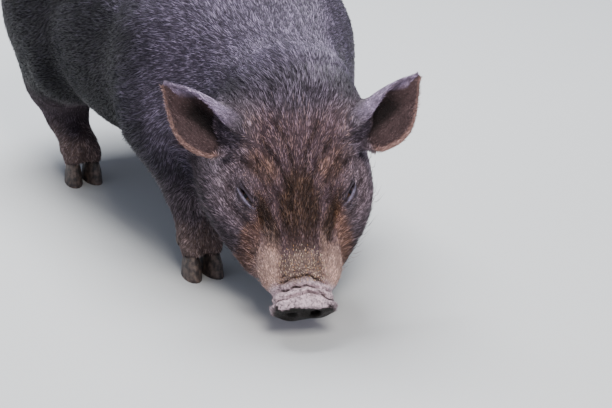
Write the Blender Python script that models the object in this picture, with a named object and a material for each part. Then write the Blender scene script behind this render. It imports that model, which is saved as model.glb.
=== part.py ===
"""A young domestic pig of the pot-bellied type, life size, standing with its head lowered to drink.

Units are metres. The pig faces -Y, its left side is +X, and its soles stand on the plane z = 0.
The flesh is one smooth form: ellipsoids and tapered bones that melt into each other. That form
is a function of space, it is turned into a closed mesh, and flat cuts part it into the torso,
neck, head, snout, ears and legs. The tail is a form of the same kind, cut clear of the torso.
Claws, dewclaws and eyeballs are solids of their own.
"""

import math

import bmesh
import bpy
import numpy as np
from mathutils import Matrix, Vector

# Fit and fineness
GAP = 0.0003                # clearance between neighbouring pieces
BODY_STEP = 0.004           # grid of the mesh of the whole body
HEAD_STEP = 0.0018          # grid of the mesh of the head
TAIL_STEP = 0.003           # grid of the mesh of the tail
BODY_TRIANGLES = 5600
HEAD_TRIANGLES = 6200
TAIL_TRIANGLES = 420
BODY_ROOM = ((-0.19, -0.45, -0.01), (0.19, 0.43, 0.37))       # grid corners, about the whole pig
HEAD_ROOM = ((-0.20, -0.45, 0.00), (0.16, -0.215, 0.33))      # about the head
TAIL_ROOM = ((-0.03, 0.31, 0.14), (0.04, 0.44, 0.32))         # about the tail
SHARP_ANGLE = 40.0          # degrees past which an edge is shaded sharp

# Torso: centre and radii of each ellipsoid
CHEST = ((0.0, -0.095, 0.232), (0.122, 0.132, 0.113))
BELLY = ((-0.003, 0.068, 0.206), (0.142, 0.234, 0.123))
RUMP = ((-0.008, 0.254, 0.226), (0.129, 0.121, 0.110))
TORSO_BLEND = 0.06

# Neck: from inside the chest to the back of the head, with the throat under it
NECK_BACK = (0.0, -0.130, 0.240)
NECK_FRONT = (-0.014, -0.262, 0.222)
NECK_RADII = (0.100, 0.071)
THROAT = ((-0.020, -0.222, 0.134), (0.076, 0.072, 0.074))
THROAT_BLEND = 0.04
NECK_BLEND = 0.05
HEAD_BLEND = 0.05           # where the head melts into the neck

# Legs: where each foot stands, its turn outwards in degrees, and the sizes that fore legs share
# and hind legs share. Heights are above the floor.
FEET = {
    "front_right": (-0.080, -0.172, 6.0),
    "front_left": (0.083, -0.150, 6.0),
    "hind_right": (-0.086, 0.186, 8.0),
    "hind_left": (0.083, 0.230, 8.0),
}
SHOULDER = ((0.084, -0.100, 0.222), (0.050, 0.066, 0.088))
ELBOW = ((0.098, -0.108, 0.158), 0.038)
KNEE_HEIGHT = 0.088
KNEE_RADIUS = 0.0215
FORE_CANNON_RADIUS = 0.0175
HAM = ((0.080, 0.264, 0.198), (0.064, 0.098, 0.100))
STIFLE = ((0.102, 0.180, 0.150), 0.042)
HOCK = (0.076, 0.102, 0.0300)       # behind the foot, height, radius
HIND_CANNON_RADIUS = 0.0240
CANNON_DROP = (0.026, 0.028)        # of the cannon's top under the knee and under the hock
FETLOCK_HEIGHT = 0.042
FETLOCK_RADIUS = 0.0205
FOOT_RADIUS = 0.0175
THIGH_BLEND = 0.05                  # shoulder or ham into its leg
JOINT_BLEND = 0.012                 # each bar of the leg into the next
LEG_BLEND = 0.04                    # leg into the torso

# Feet: two claws and two dewclaws on each
CORONET_HEIGHT = 0.024      # where flesh meets horn, at the middle of the foot
CORONET_SLOPE = 0.22        # rise of that line towards the toe
CLAW_RADII = (0.0110, 0.0260, 0.036)
CLAW_SPACING = 0.0123       # from the middle of the foot to the middle of a claw
CLAW_SPLAY = 5.0            # degrees
CLAW_RINGS = 8
TOE_RADII = (0.0138, 0.0212, 0.0180)
TOE_PLACE = (0.004, 0.006)  # ahead of the foot's middle and above the coronet
TOE_BLEND = 0.006
DEWCLAW_RADII = (0.0060, 0.0065, 0.0130)
DEWCLAW_PLACE = (0.0145, 0.0205, 0.0410)   # sideways, behind the foot, height
DEWCLAW_LEAN = (28.0, 14.0)                # degrees backwards and sideways
DEWCLAW_RINGS = 6

# Cuts that part the flesh
# The flat cut at the top of each leg: behind the foot, height, length and lean to the rear
LEG_TOPS = {"front": (0.068, 0.135, 0.120, 0.35), "hind": (0.062, 0.125, 0.225, 0.0)}
LEG_INNER = 0.052                              # no leg reaches nearer to the middle than this
LEG_ROOM = 0.12                                # width of each leg's box
FOOT_ROOM = (0.09, 0.12, 0.06)                 # width, length and depth of the box under the coronet
NECK_ROOM = (0.5, 0.6, 0.35)
HEAD_BOX_SIZE = 0.42
HEAD_BOX_DROP = 0.05                           # its middle lies under the cut's point by this
NECK_CUT = ((0.0, -0.190, 0.245), (0.0, 0.985, -0.17))
HEAD_CUT = (-0.020, 0.050)                     # u and v of the poll, where the head is cut off
HEAD_CUT_LEAN = 55.5                           # degrees that the cut leans from the head's length
SNOUT_CUT = (0.196, -0.034)                    # u of its back and v of its underside
SNOUT_ROOM = (0.12, 0.10, 0.07)                # width, height and length of its box
EAR_CUT = 0.018                                # beyond the ear's root
EAR_ROOM = ((-0.030, 0.060), (-0.006, 0.080))  # of its box: to the inner and outer rim, back and front
EAR_REACH = 0.11                               # length of its box

# Tail: points down its middle, thickness there, and the tuft of bristles at its end
TAIL_PATH = (
    (0.0, 0.345, 0.285),
    (0.0, 0.382, 0.283),
    (0.004, 0.402, 0.250),
    (0.008, 0.409, 0.205),
    (0.010, 0.408, 0.168),
)
TAIL_RADII = (0.019, 0.0125, 0.0095, 0.0075, 0.0055)
TAIL_BLEND = 0.010
TUFT_LOCKS = 14
TUFT_SPAN = (0.15, 1.0)             # where the first and last locks leave the tail's last stretch
TUFT_LENGTH = (0.046, 0.062)        # shortest and longest lock
TUFT_WIDTH = (0.0070, 0.0095)
TUFT_FLARE = (0.10, 0.22)           # how far a lock aims outwards for each length downwards
TUFT_TURN = 2.4                     # radians from each lock to the next round the tail
TUFT_ROOT = 0.0015                  # out from the tail's middle
TUFT_BEND = 0.003                   # drop of a lock's tip under its aim

# Head: a frame of its own, u from the poll to the snout, v out of the forehead, w to its left
HEAD_TURN = 19.0            # degrees to the pig's right
HEAD_DOWN = 55.0            # degrees below the horizontal
DISC_CENTRE = (-0.060, -0.404, 0.0334)
HEAD_LENGTH = 0.233
HEAD_SEAM = 0.003           # rounding where its left and right halves meet
# Distance along u, half width, top and bottom of the plain head
HEAD_SECTIONS = (
    (-0.030, 0.050, 0.030, -0.070),
    (0.000, 0.060, 0.047, -0.088),
    (0.040, 0.066, 0.054, -0.098),
    (0.070, 0.064, 0.050, -0.100),
    (0.100, 0.056, 0.039, -0.094),
    (0.130, 0.046, 0.029, -0.082),
    (0.160, 0.038, 0.023, -0.066),
    (0.185, 0.0325, 0.0195, -0.050),
    (0.205, 0.0290, 0.0185, -0.036),
    (0.222, 0.0320, 0.0205, -0.026),
    (0.232, 0.0345, 0.0225, -0.024),
)
# Masses that stand out of the plain head, left side: centre, radii and blend
HEAD_MASSES = (
    ((0.084, -0.044, 0.040), (0.066, 0.056, 0.048), 0.030),     # cheek
    ((0.128, -0.066, 0.034), (0.052, 0.034, 0.032), 0.022),     # jowl
    ((0.088, 0.020, 0.040), (0.026, 0.018, 0.020), 0.018),      # brow
    ((0.108, 0.004, 0.046), (0.019, 0.017, 0.015), 0.010),      # lids
    ((0.030, 0.026, 0.056), (0.022, 0.022, 0.024), 0.022),      # mound that carries the ear
    ((0.176, -0.014, 0.028), (0.030, 0.021, 0.019), 0.012),     # upper lip
    ((0.196, -0.040, 0.000), (0.020, 0.012, 0.019), 0.008),     # chin
)
DISC_RADII = (0.021, 0.031, 0.036)      # of the snout's disc: up, down and to each side
DISC_TILT = 9.0                         # degrees that its face turns up
DISC_DEPTH = 0.011
DISC_ROUND = 0.004                      # rounding of its rim
DISC_BLEND = 0.006
FOLDS = (0.2140, 0.0200)                # middle and half length of the folds across the snout, along u
FOLD_SPACING = 0.0088
FOLD_ARCH = 0.0055                      # the folds bow towards the forehead by this
FOLD_DEPTH = 0.0036
# The groove from each eye's inner corner down the muzzle: u and w of its points, depth and width
MUZZLE_GROOVE = ((0.124, 0.040), (0.146, 0.033), (0.170, 0.0255), (0.190, 0.0205), (0.202, 0.0225))
GROOVE_SIZE = (0.0028, 0.0050)
NOSTRIL = ((-0.002, 0.0130), (0.0075, 0.0050))   # place and radii in the disc, v and w
NOSTRIL_DEPTH = 0.014
EYE_CENTRE = (0.108, 0.0112, 0.0495)
EYE_RADIUS = 0.0110
EYE_OUT = (0.0, 0.80, 0.60)             # the way that it looks, in u, v and w
EYE_SLANT = 32.0                        # degrees that the slit turns from the head's length
SLIT_RADII = (0.0108, 0.0022, 0.0120)
# The line of the mouth: u of its corners and how much further it runs ahead, v there and its
# climb, the half width at the corners and how much of that is lost in the middle
MOUTH_CORNER = (0.128, 0.080)
MOUTH_HEIGHT = (-0.046, 0.22)
MOUTH_WIDTH = (0.046, 0.35)
MOUTH_RADIUS = 0.0013

# Ears: one curled leaf each, drawn in the head's frame
EAR_ROOT = (0.040, 0.016, 0.068)
EAR_TIP = (-0.019, 0.036, 0.142)
EAR_FRONT = (0.10, 1.0, 0.30)                       # the way that the cup opens
# Where each section lies, from root 0 to tip 1, and the width along the curl and its angle in
# radians there, on the outer and the inner side
EAR_STATIONS = (-0.16, -0.06, 0.0, 0.2, 0.4, 0.6, 0.8, 1.0)
EAR_OUTER = ((0.008, 1.30), (0.028, 1.25), (0.041, 1.10), (0.050, 0.90),
             (0.051, 0.75), (0.042, 0.65), (0.024, 0.55), (0.0010, 0.50))
EAR_INNER = ((0.042, 2.30), (0.048, 2.60), (0.052, 2.75), (0.053, 2.70),
             (0.044, 2.40), (0.030, 1.95), (0.014, 1.45), (0.0010, 1.00))
EAR_SLIPS = (-0.07, 0.0, 0.07)                      # stations are averaged over these, to round the rims
EAR_THICKNESS = (0.0060, 0.0032)                    # at the root and at the tip
EAR_BLEND = 0.012                                   # into the head

# Colours as the photograph shows them, linear, with roughness
FINISHES = {
    "hide_body": ((0.030, 0.029, 0.036), 0.55),
    "hide_neck": ((0.034, 0.032, 0.038), 0.55),
    "hide_head": ((0.060, 0.040, 0.030), 0.60),
    "hide_snout": ((0.150, 0.110, 0.100), 0.45),
    "hide_ear": ((0.055, 0.036, 0.032), 0.60),
    "hide_leg": ((0.032, 0.028, 0.026), 0.60),
    "hide_tail": ((0.030, 0.027, 0.028), 0.60),
    "horn_claw": ((0.120, 0.095, 0.080), 0.45),
    "eye_wet": ((0.020, 0.012, 0.008), 0.08),
}


def ball(p, centre, radii):
    """Distance to an ellipsoid, nearly exact by its surface: k (k - 1) / |q / r^2|, k = |q / r|."""
    q = p - np.array(centre)
    r = np.array(radii)
    k = np.maximum(np.linalg.norm(q / r, axis=1), 1e-6)
    return k * (k - 1) / np.maximum(np.linalg.norm(q / r ** 2, axis=1), 1e-6)


def bone(p, start, end, start_radius, end_radius):
    """Distance to a round bar from start to end whose radius changes evenly along it."""
    start = np.array(start)
    axis = np.array(end) - start
    t = np.clip((p - start) @ axis / (axis @ axis), 0, 1)
    radius = start_radius + t * (end_radius - start_radius)
    return np.linalg.norm(p - start - t[:, None] * axis, axis=1) - radius


def join(a, b, blend):
    """Union of two forms that melt together where their surfaces are closer than blend."""
    h = np.maximum(blend - np.abs(a - b), 0) / blend
    return np.minimum(a, b) - h * h * blend / 4


def chain(p, points, radii, blend):
    """Bones laid end to end through the points."""
    links = [bone(p, *points[i:i + 2], *radii[i:i + 2]) for i in range(len(points) - 1)]
    form = links[0]
    for link in links[1:]:
        form = join(form, link, blend)
    return form


def head_axes():
    """Rows are the directions of u, v and w, followed by the point where all three are zero."""
    turn = math.radians(HEAD_TURN)
    down = math.radians(HEAD_DOWN)
    ahead = np.array((-math.sin(turn), -math.cos(turn), 0.0))
    up = np.array((0.0, 0.0, 1.0))
    u = ahead * math.cos(down) - up * math.sin(down)
    v = ahead * math.sin(down) + up * math.cos(down)
    w = np.cross(v, u)
    return np.array((u, v, w)), np.array(DISC_CENTRE) - u * HEAD_LENGTH


def from_head(point, side=1):
    """A place given in the head's frame, on its left for side 1 and its right for side -1."""
    axes, start = head_axes()
    return start + np.array((point[0], point[1], point[2] * side)) @ axes


def ear_form(q):
    """Distance to the left ear, a leaf curled about its length, in the head's frame.

    Across its length each section is two arcs that leave the same lowest point, a wide one to the
    outer rim and a tight one that rolls over to the inner rim. The distance is that to the nearer
    arc, less half the leaf's thickness.
    """
    root = np.array(EAR_ROOT)
    axis = np.array(EAR_TIP) - root
    length = np.linalg.norm(axis)
    axis = axis / length
    front = np.array(EAR_FRONT)
    front = front - axis * (front @ axis)
    front = front / np.linalg.norm(front)
    outwards = np.cross(front, axis)
    s = (q - root) @ axis / length
    t = np.clip(s, EAR_STATIONS[0], 1)
    x = (q - root) @ outwards
    y = (q - root) @ front
    flat = []
    for side, sizes in ((1, EAR_OUTER), (-1, EAR_INNER)):
        width, turn = (
            sum(np.interp(t + slip, EAR_STATIONS, size) for slip in EAR_SLIPS) / len(EAR_SLIPS)
            for size in zip(*sizes)
        )
        radius = width / turn
        bearing = np.arctan2(side * x, radius - y)
        bearing = np.clip(np.where(bearing < -math.pi / 2, math.pi, bearing), 0, turn)
        flat.append(np.hypot(side * x - radius * np.sin(bearing), y - radius * (1 - np.cos(bearing))))
    return np.hypot(np.minimum(*flat), (s - t) * length) - np.interp(t, (0, 1), EAR_THICKNESS) / 2


def groove(u, w, points, depth, width):
    """How deep a rounded groove along a line of points in the u, w plane is at each place."""
    near = np.full(len(u), np.inf)
    place = np.stack((u, w), axis=1)
    for start, end in zip(points[:-1], points[1:]):
        start = np.array(start)
        axis = np.array(end) - start
        t = np.clip((place - start) @ axis / (axis @ axis), 0, 1)
        near = np.minimum(near, np.linalg.norm(place - start - t[:, None] * axis, axis=1))
    return depth * np.exp(-(near / width) ** 2)


def head_form(q):
    """The head without its ears, in its own frame: the plain head, its masses, folds and disc."""
    q = np.stack((q[:, 0], q[:, 1], np.hypot(q[:, 2], HEAD_SEAM)), axis=1)
    u, v, w = q.T
    at, half, top, bottom = np.array(HEAD_SECTIONS).T
    near = np.clip(u, at[0], at[-1])
    half, top, bottom = (
        sum(np.interp(near + shift, at, size) for shift in (-0.014, 0.0, 0.014)) / 3
        for size in (half, top, bottom)
    )
    rise = (top - bottom) / 2
    middle = (top + bottom) / 2
    k = np.hypot(w / half, (v - middle) / rise)
    section = (k - 1) * np.minimum(half, rise)
    form = np.where(u == near, section, np.hypot(np.maximum(section, 0), u - near))
    form = np.where((u != near) & (section < 0), np.abs(u - near), form)
    for centre, radii, blend in HEAD_MASSES:
        form = join(form, ball(q, centre, radii), blend)
    form = form + groove(u, w, MUZZLE_GROOVE, *GROOVE_SIZE) * np.clip((v + 0.02) / 0.02, 0, 1)

    up, down, across = DISC_RADII
    arch = FOLD_ARCH * (1 - (w / across) ** 2)
    amount = np.clip(1 - np.abs((u + arch - FOLDS[0]) / FOLDS[1]), 0, 1) * np.clip((v + 0.012) / 0.02, 0, 1)
    ridge = np.sqrt(np.sin(math.pi * (u + arch - FOLDS[0]) / FOLD_SPACING) ** 2 + 0.03) - 0.65
    form = form - FOLD_DEPTH * np.minimum(1.6 * amount, 1) * ridge

    tilt = math.radians(DISC_TILT)
    ahead = (u - HEAD_LENGTH) * math.cos(tilt) + v * math.sin(tilt)
    rise = v * math.cos(tilt) - (u - HEAD_LENGTH) * math.sin(tilt)
    tall = np.where(rise > 0, up, down)
    rim = (np.hypot(rise / tall, w / across) - 1) * tall + DISC_ROUND
    face = np.abs(ahead + DISC_DEPTH / 2) - DISC_DEPTH / 2 + DISC_ROUND
    disc = np.hypot(np.maximum(rim, 0), np.maximum(face, 0)) + np.minimum(np.maximum(rim, face), 0)
    return join(form, disc - DISC_ROUND, DISC_BLEND)


def leg_form(p, name):
    """One leg, from the shoulder or ham down to the toes."""
    x, y, _ = FEET[name]
    side = math.copysign(1.0, x)

    def mirrored(point):
        return (point[0] * side, point[1], point[2])

    foot = [(x, y, CORONET_HEIGHT), (x, y + 0.004, FETLOCK_HEIGHT)]
    if name.startswith("front"):
        upper, upper_radii = SHOULDER
        elbow, elbow_radius = ELBOW
        knee = (x * 0.75 + elbow[0] * side * 0.25, y + 0.022, KNEE_HEIGHT)
        under_knee = (x * 0.85 + elbow[0] * side * 0.15, y + 0.014, KNEE_HEIGHT - CANNON_DROP[0])
        points = [mirrored(elbow), knee, under_knee, foot[1], foot[0]]
        radii = (elbow_radius, KNEE_RADIUS, FORE_CANNON_RADIUS, FETLOCK_RADIUS, FOOT_RADIUS)
    else:
        upper, upper_radii = HAM
        stifle, stifle_radius = STIFLE
        hock = (x, y + HOCK[0], HOCK[1])
        under_hock = (x, y + HOCK[0] * 0.62, HOCK[1] - CANNON_DROP[1])
        points = [mirrored(stifle), hock, under_hock, foot[1], foot[0]]
        radii = (stifle_radius, HOCK[2], HIND_CANNON_RADIUS, FETLOCK_RADIUS, FOOT_RADIUS)
    form = join(ball(p, mirrored(upper), upper_radii), chain(p, points, radii, JOINT_BLEND), THIGH_BLEND)
    for toe in (-CLAW_SPACING, CLAW_SPACING):
        place = (x + toe, y - TOE_PLACE[0], CORONET_HEIGHT + TOE_PLACE[1])
        form = join(form, ball(p, place, TOE_RADII), TOE_BLEND)
    return form


def tail_form(p):
    """The tail without its tuft."""
    return chain(p, TAIL_PATH, TAIL_RADII, TAIL_BLEND)


def pig_form(p):
    """The whole pig's flesh but its tail: less than zero inside it, more outside."""
    torso = join(join(ball(p, *CHEST), ball(p, *BELLY), TORSO_BLEND), ball(p, *RUMP), TORSO_BLEND)
    for name in FEET:
        torso = join(torso, leg_form(p, name), LEG_BLEND)
    neck = join(bone(p, NECK_BACK, NECK_FRONT, *NECK_RADII), ball(p, *THROAT), THROAT_BLEND)
    axes, start = head_axes()
    q = (p - start) @ axes.T
    body = join(join(torso, neck, NECK_BLEND), head_form(q), HEAD_BLEND)
    q[:, 2] = np.abs(q[:, 2])
    return join(body, ear_form(q), EAR_BLEND)


def net(form, low, high, step):
    """Closed mesh of the surface where form is zero, from a grid between two corners.

    What reaches the edge of the grid is closed flat there, one step inside it. The form is
    measured at the middle of blocks of four cells, and again at every grid point of
    the blocks that the surface may cross. A grid square with only two opposite corners inside
    is filled, because the surface would touch itself there. Each cell with grid points on both
    sides holds one vertex, the mean of the crossings on its edges, and each crossed grid edge
    gives one quad.
    """
    low = np.array(low)
    high = np.array(high)

    def closed(p):
        return np.maximum(form(p), (np.abs(p - (low + high) / 2) - (high - low) / 2 + step).max(axis=1))

    blocks = np.ceil((high - low) / (4 * step)).astype(int)
    middles = (np.indices(blocks).reshape(3, -1).T + 0.5) * 4 * step + low
    values = closed(middles).reshape(blocks).repeat(4, 0).repeat(4, 1).repeat(4, 2)
    values = np.pad(values, (0, 1), mode="edge")
    near = np.abs(values) < 7 * step
    values[near] = closed(np.argwhere(near) * step + low)

    inside = values < 0
    for axis in (0, 1, 2, 0, 1, 2):
        right, up = np.delete(np.eye(3, dtype=int), axis, axis=0)
        shape = np.array(inside.shape) - right - up
        ring = [
            inside[tuple(slice(d, n + d) for n, d in zip(shape, shift))]
            for shift in (0 * up, right, right + up, up)
        ]
        pinched = (ring[0] == ring[2]) & (ring[1] == ring[3]) & (ring[0] != ring[1])
        for corner in ring:
            corner |= pinched
    values[inside & (values >= 0)] = -step / 4
    corners = sum(
        inside[i:i - 1 or None, j:j - 1 or None, k:k - 1 or None].astype(int)
        for i in (0, 1) for j in (0, 1) for k in (0, 1)
    )
    mixed = (corners > 0) & (corners < 8)
    cells = np.argwhere(mixed)
    number = np.full(mixed.shape, -1)
    number[mixed] = np.arange(len(cells))
    total = np.zeros((len(cells), 3))
    count = np.zeros(len(cells))
    for axis in range(3):
        along = np.eye(3, dtype=int)[axis]
        for i in (0, 1):
            for j in (0, 1):
                start = np.roll((0, i, j), axis)
                a = values[tuple((cells + start).T)]
                b = values[tuple((cells + start + along).T)]
                crossed = (a < 0) != (b < 0)
                share = np.where(crossed, a / np.where(crossed, a - b, 1), 0)
                total += crossed[:, None] * (start + share[:, None] * along)
                count += crossed
    verts = low + (cells + total / count[:, None]) * step

    quads = []
    for axis in range(3):
        along, right, up = np.roll(np.eye(3, dtype=int), -axis, axis=0)
        shape = np.array(values.shape) - along
        first = inside[tuple(slice(0, n) for n in shape)]
        second = inside[tuple(slice(d, n + d) for n, d in zip(shape, along))]
        edges = np.argwhere(first != second)
        ring = [number[tuple((edges - shift).T)] for shift in (0 * up, right, right + up, up)]
        ring = np.stack(ring, axis=1)
        out = first[tuple(edges.T)]
        quads.append(np.where(out[:, None], ring, ring[:, ::-1]))
    return settle(closed, verts), np.concatenate(quads)


def settle(form, verts, rounds=2):
    """Move vertices onto the surface where form is zero, along its slope."""
    reach = 0.0002
    for _ in range(rounds):
        slope = [form(verts + reach * axis) - form(verts - reach * axis) for axis in np.eye(3)]
        slope = np.stack(slope, axis=1) / (2 * reach)
        steep = np.maximum((slope ** 2).sum(axis=1), 0.25)
        verts = verts - (form(verts) / steep)[:, None] * slope
    return verts


def add_object(name, mesh, collection):
    """Put a mesh in the scene as one object."""
    obj = bpy.data.objects.new(name, mesh)
    collection.objects.link(obj)
    return obj


def mesh_of(name, verts, faces):
    """A mesh from arrays."""
    mesh = bpy.data.meshes.new(name)
    mesh.from_pydata(verts.tolist(), [], faces.tolist())
    return mesh


def mesh_from(name, shape):
    """A mesh from a bmesh, which is freed."""
    mesh = bpy.data.meshes.new(name)
    shape.to_mesh(mesh)
    shape.free()
    return mesh


def apply_modifiers(obj):
    """Replace the object's mesh by what its modifiers make of it, and keep its largest shell."""
    bpy.context.view_layer.update()
    shown = obj.evaluated_get(bpy.context.evaluated_depsgraph_get())
    shape = bmesh.new()
    shape.from_mesh(bpy.data.meshes.new_from_object(shown))
    obj.modifiers.clear()
    bmesh.ops.remove_doubles(shape, verts=shape.verts, dist=1e-6)
    bmesh.ops.triangulate(shape, faces=shape.faces)
    unseen = set(shape.faces)
    shells = []
    while unseen:
        shell = [unseen.pop()]
        for face in shell:
            linked = {other for edge in face.edges for other in edge.link_faces} & unseen
            unseen -= linked
            shell.extend(linked)
        shells.append(shell)
    largest = max(shells, key=lambda shell: sum(face.calc_area() for face in shell))
    scraps = [face for shell in shells if shell is not largest for face in shell]
    bmesh.ops.delete(shape, geom=scraps, context="FACES")
    obj.data = mesh_from(obj.name, shape)


def decimate(obj, triangles):
    """Bring the object down to about so many triangles."""
    slim = obj.modifiers.new("slim", "DECIMATE")
    slim.ratio = triangles / (2 * len(obj.data.polygons))
    apply_modifiers(obj)


def part(name, source, collection, keep=(), take=()):
    """A new object: the source inside every solid of keep and outside every solid of take."""
    obj = add_object(name, source.data.copy(), collection)
    obj.matrix_world = source.matrix_world.copy()
    steps = [(cutter, "INTERSECT") for cutter in keep] + [(cutter, "DIFFERENCE") for cutter in take]
    for cutter, operation in steps:
        cut = obj.modifiers.new(cutter.name, "BOOLEAN")
        cut.object = cutter
        cut.operation = operation
        cut.solver = "EXACT"
        apply_modifiers(obj)
    return obj


def cutter(obj):
    """Mark an object as a guide that is not part of the pig."""
    obj.hide_render = True
    obj.display_type = "WIRE"
    return obj


def box(name, face, normal, size, depth, collection, along=(1.0, 0.0, 0.0)):
    """Two boxes behind one face, the second larger by the gap on every side.

    The face is centred on a point and looks along normal. Its size is measured along the given
    direction and across it.
    """
    normal = Vector(normal).normalized()
    along = Vector(along)
    along = (along - normal * along.dot(normal)).normalized()
    turn = Matrix((along, normal.cross(along), normal)).transposed().to_4x4()
    place = Matrix.Translation(Vector(face) - normal * depth / 2) @ turn
    pair = []
    for grow in (0, 2 * GAP):
        shape = bmesh.new()
        bmesh.ops.create_cube(shape, size=1.0)
        scale = (size[0] + grow, size[1] + grow, depth + grow)
        bmesh.ops.transform(shape, matrix=place @ Matrix.Diagonal((*scale, 1.0)), verts=shape.verts)
        suffix = "_grown" if grow else ""
        pair.append(cutter(add_object(name + suffix, mesh_from(name, shape), collection)))
    return pair


def egg(name, matrix, radii, collection, rings=12):
    """An ellipsoid from a sphere, placed and turned by a matrix."""
    shape = bmesh.new()
    turned = matrix @ Matrix.Diagonal((*radii, 1.0))
    bmesh.ops.create_uvsphere(shape, u_segments=2 * rings, v_segments=rings, radius=1.0, matrix=turned)
    return add_object(name, mesh_from(name, shape), collection)


def slice_mesh(shape, point, normal):
    """Cut away what lies ahead of a plane and close the cut."""
    everything = shape.verts[:] + shape.edges[:] + shape.faces[:]
    cut = bmesh.ops.bisect_plane(
        shape, geom=everything, plane_co=point, plane_no=normal, clear_outer=True)
    edges = [item for item in cut["geom_cut"] if isinstance(item, bmesh.types.BMEdge)]
    bmesh.ops.holes_fill(shape, edges=edges)


def coronet(name, shift=0.0):
    """A point on the plane where a foot's flesh ends, and the plane's direction, pointing up."""
    x, y, _ = FEET[name]
    return Vector((x, y, CORONET_HEIGHT + shift)), Vector((0.0, CORONET_SLOPE, 1.0)).normalized()


def claws(name, collection):
    """The foot's two claws: tall eggs sliced flat at the floor and under the coronet."""
    x, y, turn = FEET[name]
    outwards = math.copysign(1.0, x)
    made = []
    for side, word in ((-1, "right"), (1, "left")):
        splay = math.radians(turn * outwards + CLAW_SPLAY * side)
        place = Matrix.Translation((x + side * CLAW_SPACING, y - TOE_PLACE[0], 0.0))
        place = place @ Matrix.Rotation(splay, 4, "Z")
        claw = egg(f"claw_{name}_{word}", place, CLAW_RADII, collection, rings=CLAW_RINGS)
        shape = bmesh.new()
        shape.from_mesh(claw.data)
        point, up = coronet(name, -GAP)
        slice_mesh(shape, point, up)
        slice_mesh(shape, (0.0, 0.0, 0.0), (0.0, 0.0, -1.0))
        bmesh.ops.triangulate(shape, faces=shape.faces)
        bmesh.ops.recalc_face_normals(shape, faces=shape.faces)
        claw.data = mesh_from(claw.name, shape)
        made.append(claw)
    return made


def swollen(obj, guides):
    """A guide with the object's shape, larger by the gap all round."""
    guide = cutter(add_object(f"{obj.name}_swollen", obj.data.copy(), guides))
    swell = guide.modifiers.new("swell", "DISPLACE")
    swell.strength = GAP
    swell.mid_level = 0.0
    apply_modifiers(guide)
    return guide


def dewclaws(name, leg, collection, guides):
    """The two small claws behind the foot, each cut clear of the leg that it grows from."""
    x, y, _ = FEET[name]
    clear = swollen(leg, guides)
    made = []
    for side, word in ((-1, "right"), (1, "left")):
        sideways, behind, height = DEWCLAW_PLACE
        back, out = (math.radians(degrees) for degrees in DEWCLAW_LEAN)
        lean = Matrix.Rotation(-back, 4, "X") @ Matrix.Rotation(-out * side, 4, "Y")
        place = Matrix.Translation((x + side * sideways, y + behind, height)) @ lean
        whole = egg(f"dewclaw_{name}_{word}_whole", place, DEWCLAW_RADII, guides, rings=DEWCLAW_RINGS)
        cutter(whole)
        made.append(part(f"dewclaw_{name}_{word}", whole, collection, take=[clear]))
    return made


def lock(name, root, aim, length, width, bend, collection):
    """One flat lock of bristles: a blade of four sides that narrows to its tip and bends down."""
    stations = np.linspace(0, 1, 5)[:, None, None]
    aim = Vector(aim).normalized()
    across = aim.cross(Vector((0.0, 0.0, 1.0)))
    across = across.normalized() if across.length > 0.01 else Vector((1.0, 0.0, 0.0))
    thick = aim.cross(across)
    ring = np.array(((1, 0), (0, 0.35), (-1, 0), (0, -0.35)))
    frame = np.array((across, thick))
    taper = 1 - 0.93 * stations ** 1.5
    spine = np.array(root) + np.array(aim) * length * stations - np.array((0, 0, bend)) * stations ** 2
    verts = (spine + (ring @ frame)[None] * taper * width / 2).reshape(-1, 3)
    rows = np.arange(4)[:, None] * 4
    columns = np.arange(4)[None]
    nxt = (columns + 1) % 4
    sides = np.stack((rows + columns, rows + nxt, rows + nxt + 4, rows + columns + 4), axis=-1)
    faces = np.concatenate((sides.reshape(-1, 4), ((3, 2, 1, 0), (16, 17, 18, 19))))
    mesh = mesh_of(name, verts, faces)
    shape = bmesh.new()
    shape.from_mesh(mesh)
    bmesh.ops.recalc_face_normals(shape, faces=shape.faces)
    return cutter(add_object(name, mesh_from(name, shape), collection))


def add_tuft(tail, collection):
    """Fuse the tuft's locks to the tail, set round its lower end, and drop the loose copies."""
    draw = np.random.default_rng(7)
    locks = bpy.data.collections.new("tuft")
    collection.children.link(locks)
    upper = np.array(TAIL_PATH[-2])
    lower = np.array(TAIL_PATH[-1])
    for i, share in enumerate(np.linspace(*TUFT_SPAN, TUFT_LOCKS)):
        outward = np.array((math.cos(i * TUFT_TURN), math.sin(i * TUFT_TURN), 0.0))
        root = upper + (lower - upper) * share + outward * TUFT_ROOT
        aim = outward * draw.uniform(*TUFT_FLARE) + np.array((0.0, 0.0, -1.0))
        length = draw.uniform(*TUFT_LENGTH)
        lock(f"lock_{i}", root, aim, length, draw.uniform(*TUFT_WIDTH), TUFT_BEND, locks)
    fuse = tail.modifiers.new("tuft", "BOOLEAN")
    fuse.operation = "UNION"
    fuse.operand_type = "COLLECTION"
    fuse.collection = locks
    fuse.solver = "MANIFOLD"
    apply_modifiers(tail)
    for piece in list(locks.objects):
        bpy.data.objects.remove(piece)
    bpy.data.collections.remove(locks)


def eye_matrix(side):
    """Placement of an eye: X along its slit, Y across the lids, Z out of the head."""
    axes, _ = head_axes()
    u, v, w = (Vector(axis) for axis in axes * np.array((1, 1, side))[:, None])
    out = (u * EYE_OUT[0] + v * EYE_OUT[1] + w * EYE_OUT[2]).normalized()
    inwards = (w - out * w.dot(out)).normalized()
    slant = math.radians(EYE_SLANT)
    slit = (u - out * u.dot(out)).normalized() * math.cos(slant) - inwards * math.sin(slant)
    slit = (slit - out * slit.dot(out)).normalized()
    turn = Matrix((slit, out.cross(slit), out)).transposed().to_4x4()
    return Matrix.Translation(from_head(EYE_CENTRE, side)) @ turn


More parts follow.
